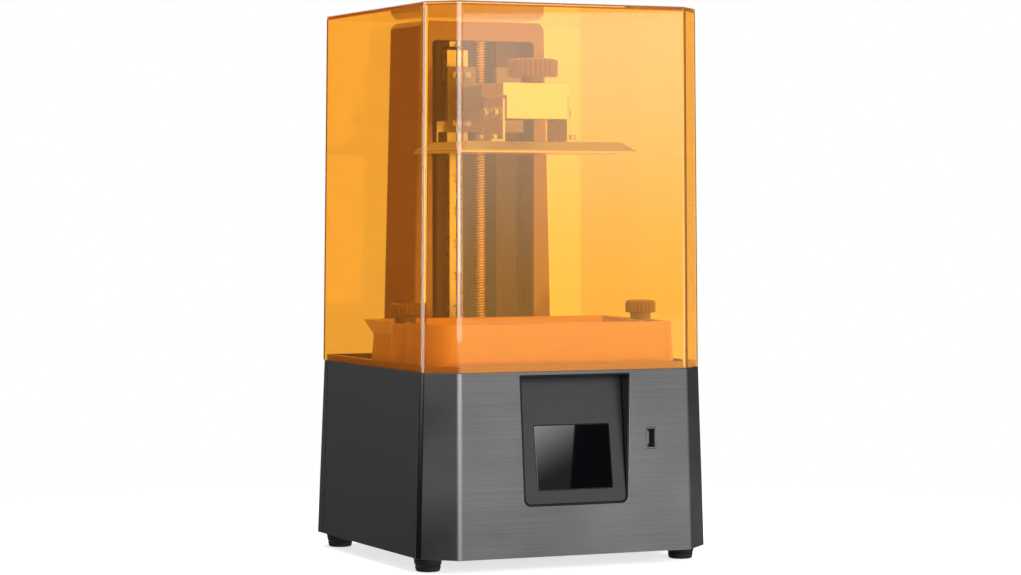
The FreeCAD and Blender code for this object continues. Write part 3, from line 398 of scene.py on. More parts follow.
def finish(slot, colour, roughness, group, size, variation, bump, dust=0.0, **shader_values):
    """A Principled material: surface group, optional dust, and a bump from the group's height."""
    material = bpy.data.materials.new(slot)
    material.use_nodes = True
    tree = material.node_tree
    shader = tree.nodes["Principled BSDF"]
    surface = node(tree, "Group", {"Colour": (*colour, 1), "Roughness": roughness, "Size": size,
                                   "Variation": variation}, node_tree=group)
    relief = node(tree, "Bump", {"Height": surface.outputs["Height"], "Strength": bump,
                                 "Distance": BUMP_DEPTH})
    if dust:
        surface = node(tree, "Group", {"Colour": surface.outputs["Colour"], "Size": DUST_CLOUDS,
                                       "Variation": dust, "Roughness": surface.outputs["Roughness"]},
                       node_tree=DUST)
    tree.links.new(surface.outputs["Colour"], shader.inputs["Base Color"])
    tree.links.new(surface.outputs["Roughness"], shader.inputs["Roughness"])
    tree.links.new(relief.outputs[0], shader.inputs["Normal"])
    for label, value in shader_values.items():
        shader.inputs[label.replace("_", " ")].default_value = value
    FINISH[slot] = material


# %% Coated, moulded and metal finishes
# Name, colour, roughness, surface group, its cells per metre, its variation, bump, then what else the shader needs.
finish("brushed_front", (0.185, 0.185, 0.188), 0.42, BRUSH, 2400.0, 1.7, 0.05, Metallic=0.9)
finish("charcoal_sheet", (0.028, 0.028, 0.03), 0.5, BRUSH, 2400.0, 0.8, 0.05,
       Specular_IOR_Level=0.3)
finish("black_plastic", (0.012, 0.012, 0.013), 0.52, GRAIN, 1300.0, 0.25, 0.2, dust=0.03,
       Specular_IOR_Level=0.18)
finish("grey_plastic", (0.2, 0.2, 0.205), 0.3, GRAIN, 1300.0, 0.2, 0.1, dust=0.03,
       Specular_IOR_Level=0.9)
finish("bezel_grey", (0.032, 0.032, 0.034), 0.4, GRAIN, 1800.0, 0.2, 0.12, Specular_IOR_Level=0.35)
finish("rubber", (0.012, 0.012, 0.012), 0.75, GRAIN, 2200.0, 0.3, 0.4)
finish("bright_aluminium", (0.78, 0.78, 0.79), 0.33, GRAIN, 2600.0, 0.12, 0.25, Metallic=1.0)
finish("dark_aluminium", (0.24, 0.24, 0.25), 0.4, GRAIN, 2200.0, 0.2, 0.2, Metallic=0.9)
finish("steel", (0.62, 0.62, 0.63), 0.27, DRAWN, 1800.0, 0.18, 0.1, Metallic=1.0)
finish("rolled_steel", (0.9, 0.9, 0.88), 0.36, DRAWN, 1800.0, 0.18, 0.1, Metallic=0.9)
# Darker steel for the lead screw's thread roots: painted shade in the hollows.
finish("root_shade_steel", (0.34, 0.32, 0.28), 0.35, GRAIN, 900.0, 0.4, 0.2, Metallic=0.4)
finish("milled_plate", (0.46, 0.46, 0.465), 0.38, GRAIN, 2600.0, 0.12, 0.25, Metallic=1.0)
finish("knob_grey", (0.15, 0.15, 0.154), 0.46, GRAIN, 1300.0, 0.25, 0.2, dust=0.03)
finish("brass", (0.76, 0.57, 0.26), 0.28, DRAWN, 1500.0, 0.18, 0.1, Metallic=1.0)
finish("vat_plastic", (0.43, 0.43, 0.425), 0.33, GRAIN, 1500.0, 0.08, 0.1, dust=0.03,
       Specular_IOR_Level=1.0)
finish("screen_glass", (0.003, 0.003, 0.004), 0.012, GRAIN, 60.0, 0.02, 0.0)
finish("circuit_green", (0.02, 0.12, 0.06), 0.3, GRAIN, 500.0, 0.3, 0.15)
finish("motor_black", (0.022, 0.022, 0.022), 0.42, GRAIN, 1500.0, 0.2, 0.15)
finish("ribbon", (0.6, 0.58, 0.52), 0.5, DRAWN, 900.0, 0.25, 0.2)
finish("film", (0.9, 0.9, 0.88), 0.12, GRAIN, 200.0, 0.05, 0.02,
       Transmission_Weight=0.85, IOR=1.34)
finish("lens_clear", (0.92, 0.94, 0.97), 0.06, GRAIN, 150.0, 0.04, 0.02,
       Transmission_Weight=0.95, IOR=1.5)
print("finishes", sorted(FINISH))

# %% [markdown]
# ## The tinted cover's finish
# The cover is clear orange acrylic: light comes in, loses its blue, and lights the vat and the lift inside. A pure
# glass shader would throw the lamps' light away as caustics, so shadow rays meet a tinted transparent shader instead.
# A shadow ray crosses both faces of a wall, so each face takes the square root of the wall's shade. Very faint
# cloudiness in the roughness gives the polished sheet its soft sheen.

# %% Tinted acrylic
TINT = (1.0, 0.68, 0.21)
SHADE = (1.0, 0.38, 0.06)
acrylic = bpy.data.materials.new("cover_acrylic")
acrylic.use_nodes = True
tree = acrylic.node_tree
clear = tree.nodes["Principled BSDF"]
clear.inputs["Transmission Weight"].default_value = 0.96
clear.inputs["IOR"].default_value = 1.49
# The sheet's faint orange glow is painted light: it stands in for lit haze in the acrylic, not for a lamp.
clear.inputs["Emission Color"].default_value = (1, 0.25, 0.05, 1)
clear.inputs["Emission Strength"].default_value = 0.02
sheet = node(tree, "Group", {"Colour": (*TINT, 1), "Roughness": 0.02, "Size": 18.0,
                             "Variation": 0.03}, node_tree=GRAIN)
tree.links.new(sheet.outputs["Colour"], clear.inputs["Base Color"])
tree.links.new(sheet.outputs["Roughness"], clear.inputs["Roughness"])
through = node(tree, "BsdfTransparent", {"Color": (*[sqrt(c) for c in SHADE], 1)})
shadow_ray = node(tree, "LightPath").outputs["Is Shadow Ray"]
sheer = node(tree, "MixShader", {0: shadow_ray, 1: clear.outputs[0], 2: through.outputs[0]})
tree.links.new(sheer.outputs[0], tree.nodes["Material Output"].inputs["Surface"])
FINISH["cover_acrylic"] = acrylic
print("acrylic tint per wall", TINT)

# %% Give every CAD node its slot's finish
SLOT = {part["node"]: part["material_slot"] for part in frame["record"]["subparts"]}
for name, slot in SLOT.items():
    mesh = frame["nodes"][name].data
    if not mesh.materials:
        mesh.materials.append(None)
    for index in range(len(mesh.materials)):
        mesh.materials[index] = FINISH[slot]
print(len(SLOT), "nodes dressed")


# %% [markdown]
# ## Placing a finished piece
# A new piece rides on the body of the node that it stands for, takes that node's finish unless told otherwise, and
# hides the node. Many sheet and machined pieces have the right form in the solids and only lack broken edges: `skin`
# copies such a node, merges its loose triangles into whole faces, and rounds its edges as a deburring tool would. A
# wide face with openings can tangle when its edges are rounded, so such a copy is cut into triangles first.
# `dress_part` gives some of a piece's faces a second finish.

# %% Fit and skin
FINE_WELD = MM / 500
SAME_PLANE = radians(0.5)


def fit(obj, node_name, slot=None, replace=True):
    """Dresses obj, makes it ride with the node's body and, if asked, hides the node."""
    slot = slot or SLOT[node_name]
    obj.data.materials.clear()
    obj.data.materials.append(FINISH[slot])
    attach(obj, frame["nodes"][node_name]["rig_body"])
    if replace:
        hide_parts(node_name)
    return obj


def dress_part(obj, finish_name, test):
    """Gives the faces that pass a test (centre, normal) a finish of their own."""
    obj.data.materials.append(FINISH[finish_name])
    choose(obj, "FACE", test)
    obj.active_material_index = len(obj.data.materials) - 1
    bpy.ops.object.material_slot_assign()
    done()


def whole(node_name, split=False):
    """A copy of a CAD node's mesh, its triangles merged into whole faces and, if asked, split again."""
    obj = twin(frame["nodes"][node_name], node_name + "_skin")
    if obj.data.has_custom_normals:
        bpy.ops.mesh.customdata_custom_splitnormals_clear()
    everything(obj)
    bpy.ops.mesh.remove_doubles(threshold=FINE_WELD)
    bpy.ops.mesh.dissolve_limited(angle_limit=SAME_PLANE)
    if split:
        bpy.ops.mesh.quads_convert_to_tris(quad_method="BEAUTY", ngon_method="BEAUTY")
    done()
    return obj


def skin(node_name, width, segments=2, angle=30, split=False):
    """A copy of a CAD node with its edges rounded, which stands for the node."""
    obj = fit(soften(whole(node_name, split), width, segments, angle), node_name)
    print(obj.name, len(obj.data.polygons), "faces")
    return obj


# %% [markdown]
# ## Cover
# The cover is one moulded shell: square in plan with two cut front corners, leaning in a little towards the top. A
# cube at the size of its foot is chamfered, its top drawn in, its bottom opened and its edges rounded, and the sheet
# then gets its thickness on the inside.

# %% Cover outline
TOP_HALF = 104.2
FOOT_LEG = 19.86
TOP_LEG = 18.51
NEAR_TOP = 380
low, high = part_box("cover")
foot_half = high.x / MM
cover = cube("cover_clear", low / MM, high / MM)
choose(cover, "EDGE", lambda a, b: near(a.x, b.x) and a.y < 0 and b.y < 0)
bevel(FOOT_LEG, 1)
choose(cover, "VERT", lambda co: co.z > NEAR_TOP)
draw_in = TOP_HALF / foot_half
bpy.ops.transform.resize(value=(draw_in, draw_in, 1), center_override=(0, 0, high.z))
leg = FOOT_LEG * draw_in
choose(cover, "VERT", lambda co: co.z > NEAR_TOP and near(co.y, -TOP_HALF))
widen = (TOP_HALF - TOP_LEG) / (TOP_HALF - leg)
bpy.ops.transform.resize(value=(widen, 1, 1), center_override=(0, 0, 0))
choose(cover, "VERT", lambda co: co.z > NEAR_TOP and near(co.y, leg - TOP_HALF, 1))
bpy.ops.transform.translate(value=(0, (TOP_LEG - leg) * MM, 0))
done()
print("cover", len(cover.data.vertices), "corners")

# %% Round the cover's edges and give it a wall
TALL = 200
REAR_ROUND = 3.5
FRONT_ROUND = 2.9
TOP_ROUND = 1.4
WALL = 3.0
choose(cover, "FACE", lambda centre, normal: normal.z < -0.9)
bpy.ops.mesh.delete(type="FACE")
choose(cover, "EDGE", lambda a, b: abs(a.z - b.z) > TALL and a.y > 0)
bevel(REAR_ROUND, 6)
choose(cover, "EDGE", lambda a, b: abs(a.z - b.z) > TALL and min(a.y, b.y) < -50)
bevel(FRONT_ROUND, 8)
choose(cover, "EDGE", lambda a, b: min(a.z, b.z) > NEAR_TOP)
bevel(TOP_ROUND, 4)
everything(cover)
bpy.ops.mesh.normals_make_consistent(inside=False)
done()
apply(cover, "SOLIDIFY", thickness=WALL * MM, offset=-1, use_even_offset=True)
fit(flat_faces(smooth(cover, 40)), "cover")
print("cover", len(cover.data.polygons), "faces")

# %% [markdown]
# ## Case panels
# Folded and coated sheets meet at narrow seams. Their form comes from the solids; only the edges need the small
# radius that folding and coating leave, because that thin line catches the light along every seam and opening. The
# deck has wide openings, so it is the one that is cut into triangles. The front sheet's hems turn back into the seams
# beside it and lie in their shade, so that shade is painted on them in black: bare metal there would draw a bright
# line.

# %% Panels, deck and floor
panels = {}
for name, width in (("front_panel", 0.45), ("left_side_panel", 0.45), ("right_side_panel", 0.45),
                    ("rear_panel", 0.3), ("top_deck", 0.4), ("base_plate", 0.3)):
    panels[name] = skin(name, width, split=name == "top_deck")

# %% Painted shade: black on the front sheet's hems where it meets the sides
SHADED_HEM_FACING = 0.735
SHADED_HEM_START = -95
# The black laid on these faces is painted shade, standing for the seam's shadow.
dress_part(panels["front_panel"], "black_plastic",
           lambda centre, normal: abs(normal.x) > SHADED_HEM_FACING and centre.y > SHADED_HEM_START)
print("hems coated")

# %% [markdown]
# ## Feet
# Each foot is a moulded rubber cone with a soft lower rim and one shallow groove. It is a turned shape, so half its
# outline is drawn and spun; the other three are copies.

# %% Feet
FOOT_OUTLINE = [(0, 0), (7.0, 0), (7.9, 0.25), (8.4, 0.9), (8.95, 3.6), (8.6, 3.9), (8.6, 4.5),
                (9.15, 4.8), (10.0, 9.3), (10.2, 9.7), (10.2, 10.0), (3.0, 10.0), (3.0, 12.5), (0, 12.5)]
foot_names = [name for name in SLOT if name.startswith("foot_")]
places = [(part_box(name)[0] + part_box(name)[1]) / 2 / MM for name in foot_names]
start = (places[0].x, places[0].y, 0)
first = smooth(turned("rubber_" + foot_names[0], FOOT_OUTLINE, start), 50)
for name, place in zip(foot_names[1:], places[1:]):
    fit(twin(first, "rubber_" + name, (place.x - places[0].x, place.y - places[0].y, 0)), name)
fit(first, foot_names[0])
print("feet at", [[round(p.x, 1), round(p.y, 1)] for p in places])

# %% [markdown]
# ## Screen
# The display leans back in a recess: a black liner, a satin grey bezel and a flush pane of dark glass. The pane's edge
# is ground round, so it gets a wider, finer rounding than the rest.

# %% Screen pieces
skin("screen_surround", 0.35)
skin("screen_bezel", 0.4, 3)
skin("touch_screen", 0.45, 4)

# %% [markdown]
# ## USB socket
# A folded steel shell with a plastic tongue inside. The shell comes from the solid; four plated contacts are small
# bevelled strips on the tongue, one modelled and three copied.

# %% USB socket
CONTACT_START = 5.2
CONTACT_END = 12.0
CONTACT_STEP = 2.1
skin("usb_port", 0.12)
low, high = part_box("usb_port")
middle = (low + high) / 2 / MM
front, back = low.y / MM + CONTACT_START, low.y / MM + CONTACT_END
strip = cube("usb_contact", (middle.x - 0.85, front, middle.z - 3.6),
             (middle.x - 0.68, back, middle.z - 2.7))
choose(strip, "EDGE", lambda a, b: near(a.y, front) and near(b.y, front))
bevel(0.08, 2)
done()
strips = [strip]
for number in (1, 2, 3):
    strips.append(twin(strip, "usb_contact", (0, 0, CONTACT_STEP * number)))
fit(smooth(join("usb_contacts", strips)), "usb_port", "brass", replace=False)
print("contacts", len(strips))

# %% [markdown]
# ## Socket-head screws
# Small screws hold the brackets, the levelling joint, the carriage and the rear sheet: each has a turned head with a
# hexagon pressed into it. Each of three sizes is modelled once, standing on the origin, then copied and turned where
# it is needed.

# %% Three screw heads
ACROSS_CORNERS = 1.15
SOCKET_FLOOR = 0.4


def screw_head(name, diameter, height, socket, root=0.0):
    """A head standing on the origin, with a rounded rim, a six-sided socket and, if asked, a shank below."""
    radius = diameter / 2
    outline = [(0, -root), (socket / 2, -root), (socket / 2, 0), (radius - 0.3, 0), (radius, 0.3),
               (radius, height - 0.6), (radius - 0.2, height - 0.2), (radius - 0.6, height), (0, height)]
    if not root:
        outline = [(0, 0)] + outline[3:]
    head = turned(name, outline, (0, 0, 0), 32)
    tool = cylinder("hexagon", socket * ACROSS_CORNERS, (0, 0, height * SOCKET_FLOOR),
                    (0, 0, height + 1), 6)
    return smooth(cut(head, tool), 40)


cap = screw_head("cap_screw", diameter=7.0, height=3.6, socket=4.0, root=5.5)
small_cap = screw_head("small_cap_screw", diameter=5.4, height=2.6, socket=2.6)
button = screw_head("button_screw", diameter=6.4, height=1.6, socket=2.4)
print("screw heads", [len(o.data.polygons) for o in (cap, small_cap, button)])

# %% [markdown]
# ## Rear of the case
# The back carries the vent with the fan behind it, the inlet and the rocker switch. Four button screws hold the sheet,
# set down into it so that they stand only just proud.

# %% Rear pieces
for name, width in (("switch_housing", 0.4), ("switch_rocker", 0.3), ("dc_jack", 0.3)):
    skin(name, width)

# %% Screws of the rear sheet
CASE_HALF = 110.5
CASE_LEAN = 4.0
CASE_FOOT = 10.0
CASE_HEIGHT = 127.3
SCREW_SINK = 1.0


def case_half(z):
    """How far the leaning sheet stands from the middle at a height."""
    return CASE_HALF - CASE_LEAN * (z - CASE_FOOT) / CASE_HEIGHT


rear = [twin(button, "rear_screw", (x, case_half(z) - SCREW_SINK, z), (-90, 0, 0))
        for x in (-94, 94) for z in (32, 122)]
fit(smooth(join("rear_screws", rear)), "rear_panel", "steel", replace=False)
print("rear screws", len(rear))

# %% [markdown]
# ## Vat
# The vat is a pale moulded tray with round corners and a pouring lip at the back. Its thumb screws are domed, fluted
# heads on a plain neck. A flute is a dip in the rim, so a cylinder with four sides per flute has every fourth line of
# vertices drawn towards the axis, and its top is crowned by extruding and narrowing the end face. The platform's clamp
# knob is made the same way.

# %% Tray and its strips
skin("vat_body", 0.9, 3)
skin("vat_rails", 0.5)


# %% Fluted heads
CROWN_STEPS = ((0.45, 0.955), (0.3, 0.88), (0.2, 0.7), (0.05, 0.3))
LOWER_RIM = 0.8
LOWER_SHARE = 0.93


def narrow(share, x, y):
    """Draws the selection towards an upright axis."""
    bpy.ops.transform.resize(value=(share, share, 1), center_override=(x * MM, y * MM, 0))


def step_up(rise):
    """Extrudes the selected face upwards."""
    bpy.ops.mesh.extrude_region_move(TRANSFORM_OT_translate={"value": (0, 0, rise * MM)})


def fluted_head(name, diameter, x, y, z0, z1, flutes, dip, crown):
    """A domed head between two heights, with a dip in its rim for each flute."""
    sides = flutes * 4
    head = cylinder(name, diameter, (x, y, z0 + LOWER_RIM), (x, y, z1 - crown), sides)

    def in_flute(co):
        angle = Vector((co.x - x, co.y - y)).angle_signed(Vector((1, 0)), 0)
        return round(angle * sides / tau) % 4 == 0

    choose(head, "VERT", in_flute)
    narrow(1 - dip, x, y)
    choose(head, "FACE", lambda centre, normal: normal.z > 0.9)
    for rise, share in CROWN_STEPS:
        step_up(rise * crown)
        narrow(share, x, y)
    choose(head, "FACE", lambda centre, normal: normal.z < -0.9)
    step_up(-LOWER_RIM)
    narrow(LOWER_SHARE, x, y)
    done()
    return close_up(head)


# %% Thumb screws and clamp knob
def knob(node_name, neck, stud, head_height, flutes, dip, crown):
    """A fluted head on a neck, given as (diameter, height), over a plain stud."""
    low, high = millimetres(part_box(node_name))
    x, y = (low.x + high.x) / 2, (low.y + high.y) / 2
    head_z = high.z - head_height
    stem_z = head_z - neck[1]
    radius = neck[0] / 2
    head = fluted_head("head", high.x - low.x, x, y, head_z, high.z, flutes, dip, crown)
    stem = turned("stem", [(0, low.z), (stud / 2, low.z), (stud / 2, stem_z), (radius - 0.5, stem_z),
                           (radius, stem_z + 0.5), (radius, head_z - 0.4),
                           (radius + 0.8, head_z + 0.4), (0, head_z + 0.4)], (x, y, 0))
    made = fit(smooth(join(node_name + "_fluted", [head, stem]), 32), node_name)
    made.data.materials[0] = FINISH["knob_grey"]
    print(made.name, len(made.data.polygons), "faces")


for name in ("left_vat_knob", "right_vat_knob"):
    knob(name, neck=(15.0, 4.6), stud=6.0, head_height=9.4, flutes=22, dip=0.07, crown=2.6)
knob("clamp_knob", neck=(16.0, 4.0), stud=8.0, head_height=13.5, flutes=30, dip=0.06, crown=2.2)

# %% [markdown]
# ## Tower and lift
# The tower is a drafted moulding with a tall opening. Inside it stand a dark extruded column, a ground rail and, right
# of it, the lead screw. A screw thread is a ridge wound up a helix, which is just what the Screw modifier makes: one
# tooth is drawn as a closed outline and wound round a plain core, and its two ends are capped. The crests are rolled
# bright, and the roots between them get a darker steel as painted shade.

# %% Tower, column and sensor
skin("tower_cover", 0.8, 3)
skin("z_column", 0.35)
skin("home_sensor", 0.35)
skin("home_flag", 0.15)

# %% Lead screw
PITCH = 2.0
TOOTH = [(2.8, 0.3), (3.97, 0.85), (3.97, 1.15), (2.8, 1.7), (2.8, 0.3)]
STEPS = 18
CORE = 2.95
CORE_END = 2.4
ROOT_SHADE_RADIUS = 3.1
low, high = millimetres(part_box("lead_screw"))
SCREW_Y = (low.y + high.y) / 2
turns = int((high.z - low.z) / PITCH) - 1
thread = drawn("lead_screw_thread", TOOTH)
apply(thread, "SCREW", axis="Z", angle=tau, screw_offset=PITCH * MM, iterations=turns, steps=STEPS,
      render_steps=STEPS, use_merge_vertices=True, merge_threshold=WELD)
everything(thread)
bpy.ops.mesh.remove_doubles(threshold=WELD)
bpy.ops.mesh.fill_holes(sides=4)
done()
thread.location = Vector((0, SCREW_Y, low.z + 0.3)) * MM
settle(close_up(thread))
print("thread", turns, "turns")

# %% Its core and two finishes
core = turned("core", [(0, low.z), (CORE_END, low.z), (CORE, low.z + 0.5), (CORE, high.z - 0.5),
                       (CORE_END, high.z), (0, high.z)], (0, SCREW_Y, 0), 24)
screw = fit(smooth(close_up(join("lead_screw_thread", [thread, core])), 50), "lead_screw")
screw.data.materials[0] = FINISH["rolled_steel"]
# The roots get the darker steel: painted shade between the crests.
dress_part(screw, "root_shade_steel",
           lambda centre, normal: Vector((centre.x, centre.y - SCREW_Y)).length < ROOT_SHADE_RADIUS)
print("lead screw", len(screw.data.polygons), "faces")

# %% Rail with its fixing holes
BORE = 5.6
BORE_DEPTH = 3.2
BORE_START = 12
BORE_STEP = 24
low, high = millimetres(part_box("linear_rails"))
RAIL_X = (low.x + high.x) / 2
rail = whole("linear_rails")
bores = []
for number in range(10):
    z = low.z + BORE_START + BORE_STEP * number
    bores.append(cylinder("bore", BORE, (RAIL_X, low.y - 1, z), (RAIL_X, low.y + BORE_DEPTH, z), 20))
cut(rail, join("bores", bores))
fit(soften(rail, 0.3), "linear_rails")
print("rail", len(rail.data.polygons), "faces")

# %% Rail blocks with end seals
BLOCK = 28
SEAL = 2.6
GROOVE_HALF = 4.8
GROOVE_FRONT = 56.7
low, high = millimetres(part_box("rail_blocks"))
blocks = whole("rail_blocks")
ends = [low.z, low.z + BLOCK, high.z - BLOCK, high.z]
for number, end in enumerate(ends):
    choose(blocks, "VERT", lambda co: near(co.z, end))
    bpy.ops.transform.translate(value=(0, 0, (SEAL if number % 2 == 0 else -SEAL) * MM))
done()
fit(soften(blocks, 0.45), "rail_blocks")
seal = cube("seal", (low.x + 0.4, low.y + 0.5, ends[0] + 0.1),
            (high.x - 0.4, high.y - 0.3, ends[0] + SEAL))
cut(seal, cube("groove", (RAIL_X - GROOVE_HALF, GROOVE_FRONT, ends[0] - 1),
               (RAIL_X + GROOVE_HALF, high.y + 1, ends[0] + SEAL + 1)))
soften(seal, 0.4)
seals = [twin(seal, "seal", (0, 0, end - ends[0] - (SEAL + 0.1 if number % 2 else 0)))
         for number, end in enumerate(ends)]
bpy.data.objects.remove(seal)
fit(smooth(join("rail_block_seals", seals)), "rail_blocks", "black_plastic", replace=False)
print("seals", len(ends))

# %% [markdown]
# ## Carriage and platform
# A plate joins the rail blocks, a short beam reaches forward, and the platform hangs on two bent brackets from a
# machined block. These are sawn, milled and bent pieces, so broken edges are what makes them look made. The build
# plate's body is left as milled, and only a thin sole is ground bright: its faces are cut at that height and dressed
# apart. The screws are copies of the heads above.

# %% Carriage, beam and platform
lift = {}
for name, width in (("carriage_plate", 0.5), ("z_arm", 0.7), ("platform_block", 0.6), ("left_bracket", 0.35),
                    ("right_bracket", 0.35), ("build_plate", 0.4), ("lead_nut", 0.3)):
    lift[name] = skin(name, width)

# %% Bright ground sole of the build plate
SOLE = 1.3
plate = lift["build_plate"]
sole_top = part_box("build_plate")[0].z / MM + SOLE
everything(plate)
bpy.ops.mesh.bisect(plane_co=(0, 0, sole_top * MM), plane_no=(0, 0, 1))
done()
dress_part(plate, "milled_plate", lambda centre, normal: centre.z > sole_top)
print("sole", round(sole_top, 1), "mm up")

# %% Screws of the carriage and platform
PLATFORM_Y = -23.7
BRACKET_X = 30.35
BRACKET_REACH = 34 / 3
BRACKET_TOP = 298.4
LEVEL_X = 26.3
LEVEL_REACH = 9
LEVEL_Z = 317.4
BLOCK_SCREW_X = 4.5
BLOCK_SCREW_Z = (311.6, 346.6)
bracket = [twin(cap, "screw", (x, PLATFORM_Y + step * BRACKET_REACH, BRACKET_TOP))
           for x in (-BRACKET_X, BRACKET_X) for step in (-1, 1)]
fit(smooth(join("bracket_cap_screws", bracket), 40), "bracket_screws")
level = [twin(cap, "screw", (side * LEVEL_X, PLATFORM_Y + step * LEVEL_REACH, LEVEL_Z), (0, side * 90, 0))
         for side in (-1, 1) for step in (-1, 1)]
fit(smooth(join("levelling_cap_screws", level), 40), "levelling_screws")
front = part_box("carriage_plate")[0].y / MM
held = [twin(small_cap, "screw", (x, front, z), (90, 0, 0))
        for x in (RAIL_X - BLOCK_SCREW_X, RAIL_X + BLOCK_SCREW_X) for z in BLOCK_SCREW_Z]
fit(smooth(join("carriage_screws", held), 40), "carriage_plate", "steel", replace=False)
for spare in (cap, small_cap, button):
    bpy.data.objects.remove(spare)
print("screws", len(bracket) + len(level) + len(held))

# %% [markdown]
# ## Floor, background and light
# The machine stands on a plain white sweep. The world is white to the camera and to anything that mirrors or looks
# through, and only a dim fill to everything else, so the lamps do the modelling. Light that has bounced off a piece
# and then leaves through the cover meets a warm glow instead, which stands in for the many bounces that a tinted box
# gives back. The floor is a pale disc that keeps the shadow near the feet and melts into the white further out.

# %% White world
DIM_FILL = 0.2
WHITE = 1.0
THROUGH_COVER = 1.15
GLOW_INSIDE = 2.4
GLOW_COLOUR = (1, 0.32, 0.1)
world = bpy.data.worlds.new("studio")
scene.world = world
world.use_nodes = True
tree = world.node_tree
path = node(tree, "LightPath").outputs
seen = reckon(tree, "MAXIMUM", path["Is Camera Ray"], path["Is Glossy Ray"])
bounced = reckon(tree, "GREATER_THAN", path["Diffuse Depth"], 0.5)


def light(strength, colour=(1, 1, 1)):
    """A plain background of one strength."""
    return node(tree, "Background", {"Color": (*colour, 1), "Strength": strength}).outputs[0]


def either(share, first, second):
    """The first background where share is 0, and the second where it is 1."""
    return node(tree, "MixShader", {0: share, 1: first, 2: second}).outputs[0]


outside = either(seen, light(DIM_FILL), light(WHITE))
within = either(bounced, light(THROUGH_COVER), light(GLOW_INSIDE, GLOW_COLOUR))
shown = either(path["Is Transmission Ray"], outside, within)
tree.links.new(shown, tree.nodes["World Output"].inputs["Surface"])
print("world set")

# %% Floor
FLOOR_RADIUS = 1.6
FLOOR_DROP = 0.0002
FLOOR_LIFT = 0.72
MELT_START = 0.22
MELT_END = 0.6
bpy.ops.object.select_all(action="DESELECT")
bpy.ops.mesh.primitive_circle_add(vertices=96, radius=FLOOR_RADIUS, fill_type="NGON",
                                  location=(0, 0, -FLOOR_DROP))
floor = settle(bpy.context.object)
floor.name = "floor"
floor.visible_glossy = False
paper = bpy.data.materials.new("white_sweep")
paper.use_nodes = True
tree = paper.node_tree
matt = tree.nodes["Principled BSDF"]
matt.inputs["Base Color"].default_value = (0.9, 0.9, 0.9, 1)
matt.inputs["Roughness"].default_value = 0.9
matt.inputs["Emission Color"].default_value = (1, 1, 1, 1)
matt.inputs["Emission Strength"].default_value = FLOOR_LIFT
place = node(tree, "TexCoord").outputs["Object"]
reach = node(tree, "VectorMath", {0: place}, operation="LENGTH").outputs["Value"]
melt = node(tree, "MapRange", {"Value": reach, "From Min": MELT_START, "From Max": MELT_END}).outputs[0]
glow = node(tree, "Emission", {"Color": (1, 1, 1, 1), "Strength": 1.0})
blend = node(tree, "MixShader", {0: melt, 1: matt.outputs[0], 2: glow.outputs[0]})
dull = node(tree, "BsdfDiffuse", {"Color": (0.2, 0.2, 0.2, 1)})
diffuse_ray = node(tree, "LightPath").outputs["Is Diffuse Ray"]
bounce = node(tree, "MixShader", {0: diffuse_ray, 1: blend.outputs[0], 2: dull.outputs[0]})
tree.links.new(bounce.outputs[0], tree.nodes["Material Output"].inputs["Surface"])
floor.data.materials.append(paper)
print("floor radius", FLOOR_RADIUS)


# %% Lamps
def softbox(name, at, aim, width, height, watts):
    """A rectangular lamp that no mirror or clear wall shows."""
    bpy.ops.object.select_all(action="DESELECT")
    turn = (Vector(aim) - Vector(at)).to_track_quat("-Z", "Y").to_euler()
    bpy.ops.object.light_add(type="AREA", location=at, rotation=turn)
    lamp = bpy.context.object
    lamp.name = name
    lamp.data.shape = "RECTANGLE"
    lamp.data.size = width
    lamp.data.size_y = height
    lamp.data.energy = watts
    lamp.visible_glossy = False
    lamp.visible_transmission = False


MIDDLE = (0, 0, 0.2)
softbox("key", (0.9, -2.1, 0.8), MIDDLE, width=1.1, height=1.1, watts=46)
softbox("fill", (-1.6, -1.5, 0.9), MIDDLE, width=1.0, height=1.4, watts=1.5)
softbox("top", (0, 0.1, 1.9), MIDDLE, width=1.2, height=1.2, watts=20)

# %% [markdown]
# ## Cards
# A studio hangs black and white cards where a glossy thing mirrors them. Black ones on both sides keep the charcoal
# sheets and the cut corners deep. Tall white ones, with a brighter core in front, draw the lines along the cover's
# rounded edges. On the right, a soft veil lies over the cover's front, a fainter card below it lifts the brushed sheet,
# and above it black cards and a slanting sheen give the leaning pane its two tones. Two more are mirrored only by the
# pieces under the cover. Only mirrored rays see any of them, so they cast no shadow and never stand in the picture.

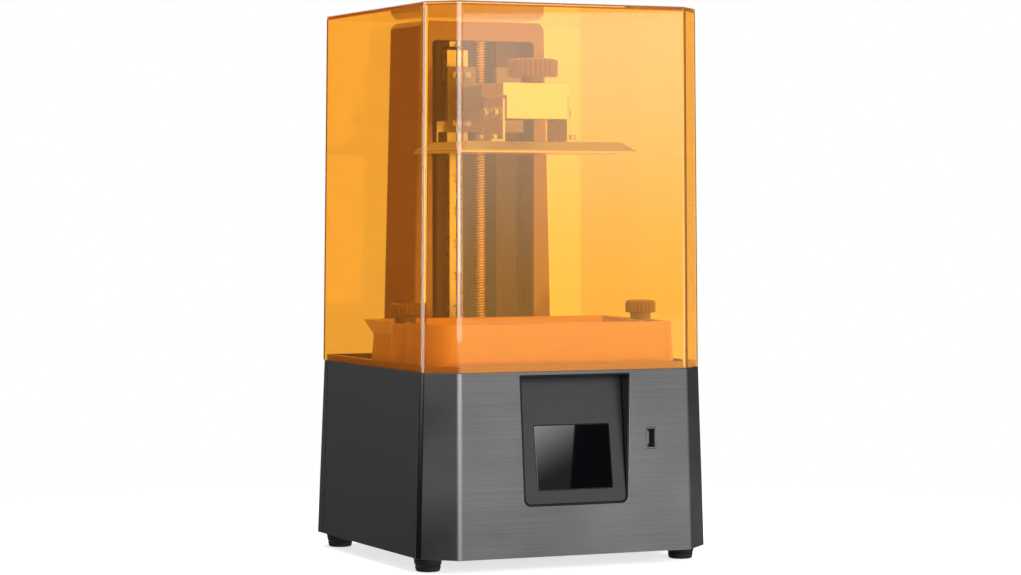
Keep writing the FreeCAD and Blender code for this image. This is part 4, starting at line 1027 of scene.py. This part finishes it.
# %% One card
def card(name, start, end, low, high, strength, foot=1.0, drift=0.0, inside=False):
    """An upright sheet from start to end on the floor plan, with a share of its light at the foot.

    Drift tilts that fall of light sideways. An inside card is mirrored only by the pieces under the cover, the
    others only by outer faces.
    """
    start, end = Vector((*start, (low + high) / 2)), Vector((*end, (low + high) / 2))
    run = end - start
    bpy.ops.object.select_all(action="DESELECT")
    bpy.ops.mesh.primitive_plane_add(size=1, location=(start + end) / 2,
                                     rotation=(pi / 2, 0, atan2(run.y, run.x)))
    sheet = bpy.context.object
    sheet.name = name
    sheet.scale = (run.length, high - low, 1)
    settle(sheet)
    for kind in ("camera", "diffuse", "shadow", "volume_scatter"):
        setattr(sheet, "visible_" + kind, False)
    sheet.visible_transmission = inside
    sheet.visible_glossy = not inside
    material = bpy.data.materials.new(name)
    material.use_nodes = True
    tree = material.node_tree
    shine = node(tree, "Emission", {"Color": (1, 1, 1, 1), "Strength": strength})
    if foot < 1:
        place = node(tree, "TexCoord").outputs["Object"]
        height = node(tree, "VectorMath", {0: place, 1: (drift, 0, 1)},
                      operation="DOT_PRODUCT").outputs["Value"]
        rise = node(tree, "MapRange", {"Value": height, "From Min": low + drift * start.x,
                                       "From Max": high + drift * start.x, "To Min": foot * strength,
                                       "To Max": strength}, interpolation_type="SMOOTHSTEP")
        tree.links.new(rise.outputs[0], shine.inputs["Strength"])
    clear = node(tree, "BsdfTransparent")
    mirrored = reckon(tree, "GREATER_THAN", node(tree, "LightPath").outputs["Glossy Depth"], 0.5)
    shown = node(tree, "MixShader", {0: mirrored, 1: clear.outputs[0], 2: shine.outputs[0]})
    tree.links.new(shown.outputs[0], tree.nodes["Material Output"].inputs["Surface"])
    sheet.data.materials.append(material)
    return sheet


# %% Cards beside and in front
# Name, start and end on the floor plan, lowest and highest point, strength.
card("black_left_low", (-0.9, -1.5), (-0.9, 0.6), -1.8, 0.1, 0)
card("black_left_high", (-0.9, -0.75), (-0.9, -0.1), 0.1, 1.4, 0)
card("white_left", (-0.9, -0.1), (-0.9, 0.6), 0.1, 1.4, 6)
card("black_far_left", (-0.9, 0.6), (-0.9, 3.4), -1.8, 1.4, 0)
card("black_far_right", (1.2, -0.3), (1.2, 1.6), -0.6, 1.4, 0)
card("white_front", (-2.03, -1.62), (-0.18, -2.59), 0.1, 1.2, 6)
card("white_core", (-1.2, -1.9), (-0.5, -2.3), 0.2, 1.2, 11)
print("cards up beside and in front")

# %% Cards on the right
RIGHT_START = (0.85, -2.994)
RIGHT_MIDDLE = (1.24, -2.821)
RIGHT_END = (1.7, -2.618)
SHEEN_SLANT = (-0.04, -0.018, 0)
card("black_right", RIGHT_MIDDLE, (1.95, -2.507), 0.62, 1.1, 0)
card("black_low", RIGHT_START, RIGHT_MIDDLE, 0.62, 0.70, 0)
sheen = card("pane_sheen", (1.146, -2.854), (1.317, -2.778), 0.622, 0.84, 10, foot=0.03,
             drift=-0.5)
# Its lower right corner moves in, so that the sheen slants.
choose(sheen, "VERT", lambda co: co.x > 1300 and co.z < 700)
bpy.ops.transform.translate(value=SHEEN_SLANT)
done()
card("front_soft", RIGHT_START, RIGHT_END, -0.35, 0.11, 0.65, foot=0.0)
card("veil", RIGHT_START, RIGHT_END, 0.11, 0.62, 3.8, foot=0.0)
print("cards up on the right")

# %% Cards for the pieces under the cover
card("inner_dark", (-0.92, -1.5), (-0.92, 3.4), -0.6, 1.4, 0, inside=True)
card("inner_glow", (0.25, -2.9), (2.2, -2.2), -0.5, 1.3, 2.2, inside=True)
print("cards up for the inside")

# %% [markdown]
# ## Last step
# The scene is brought up to date.

# %% Bring the scene up to date
bpy.context.view_layer.update()
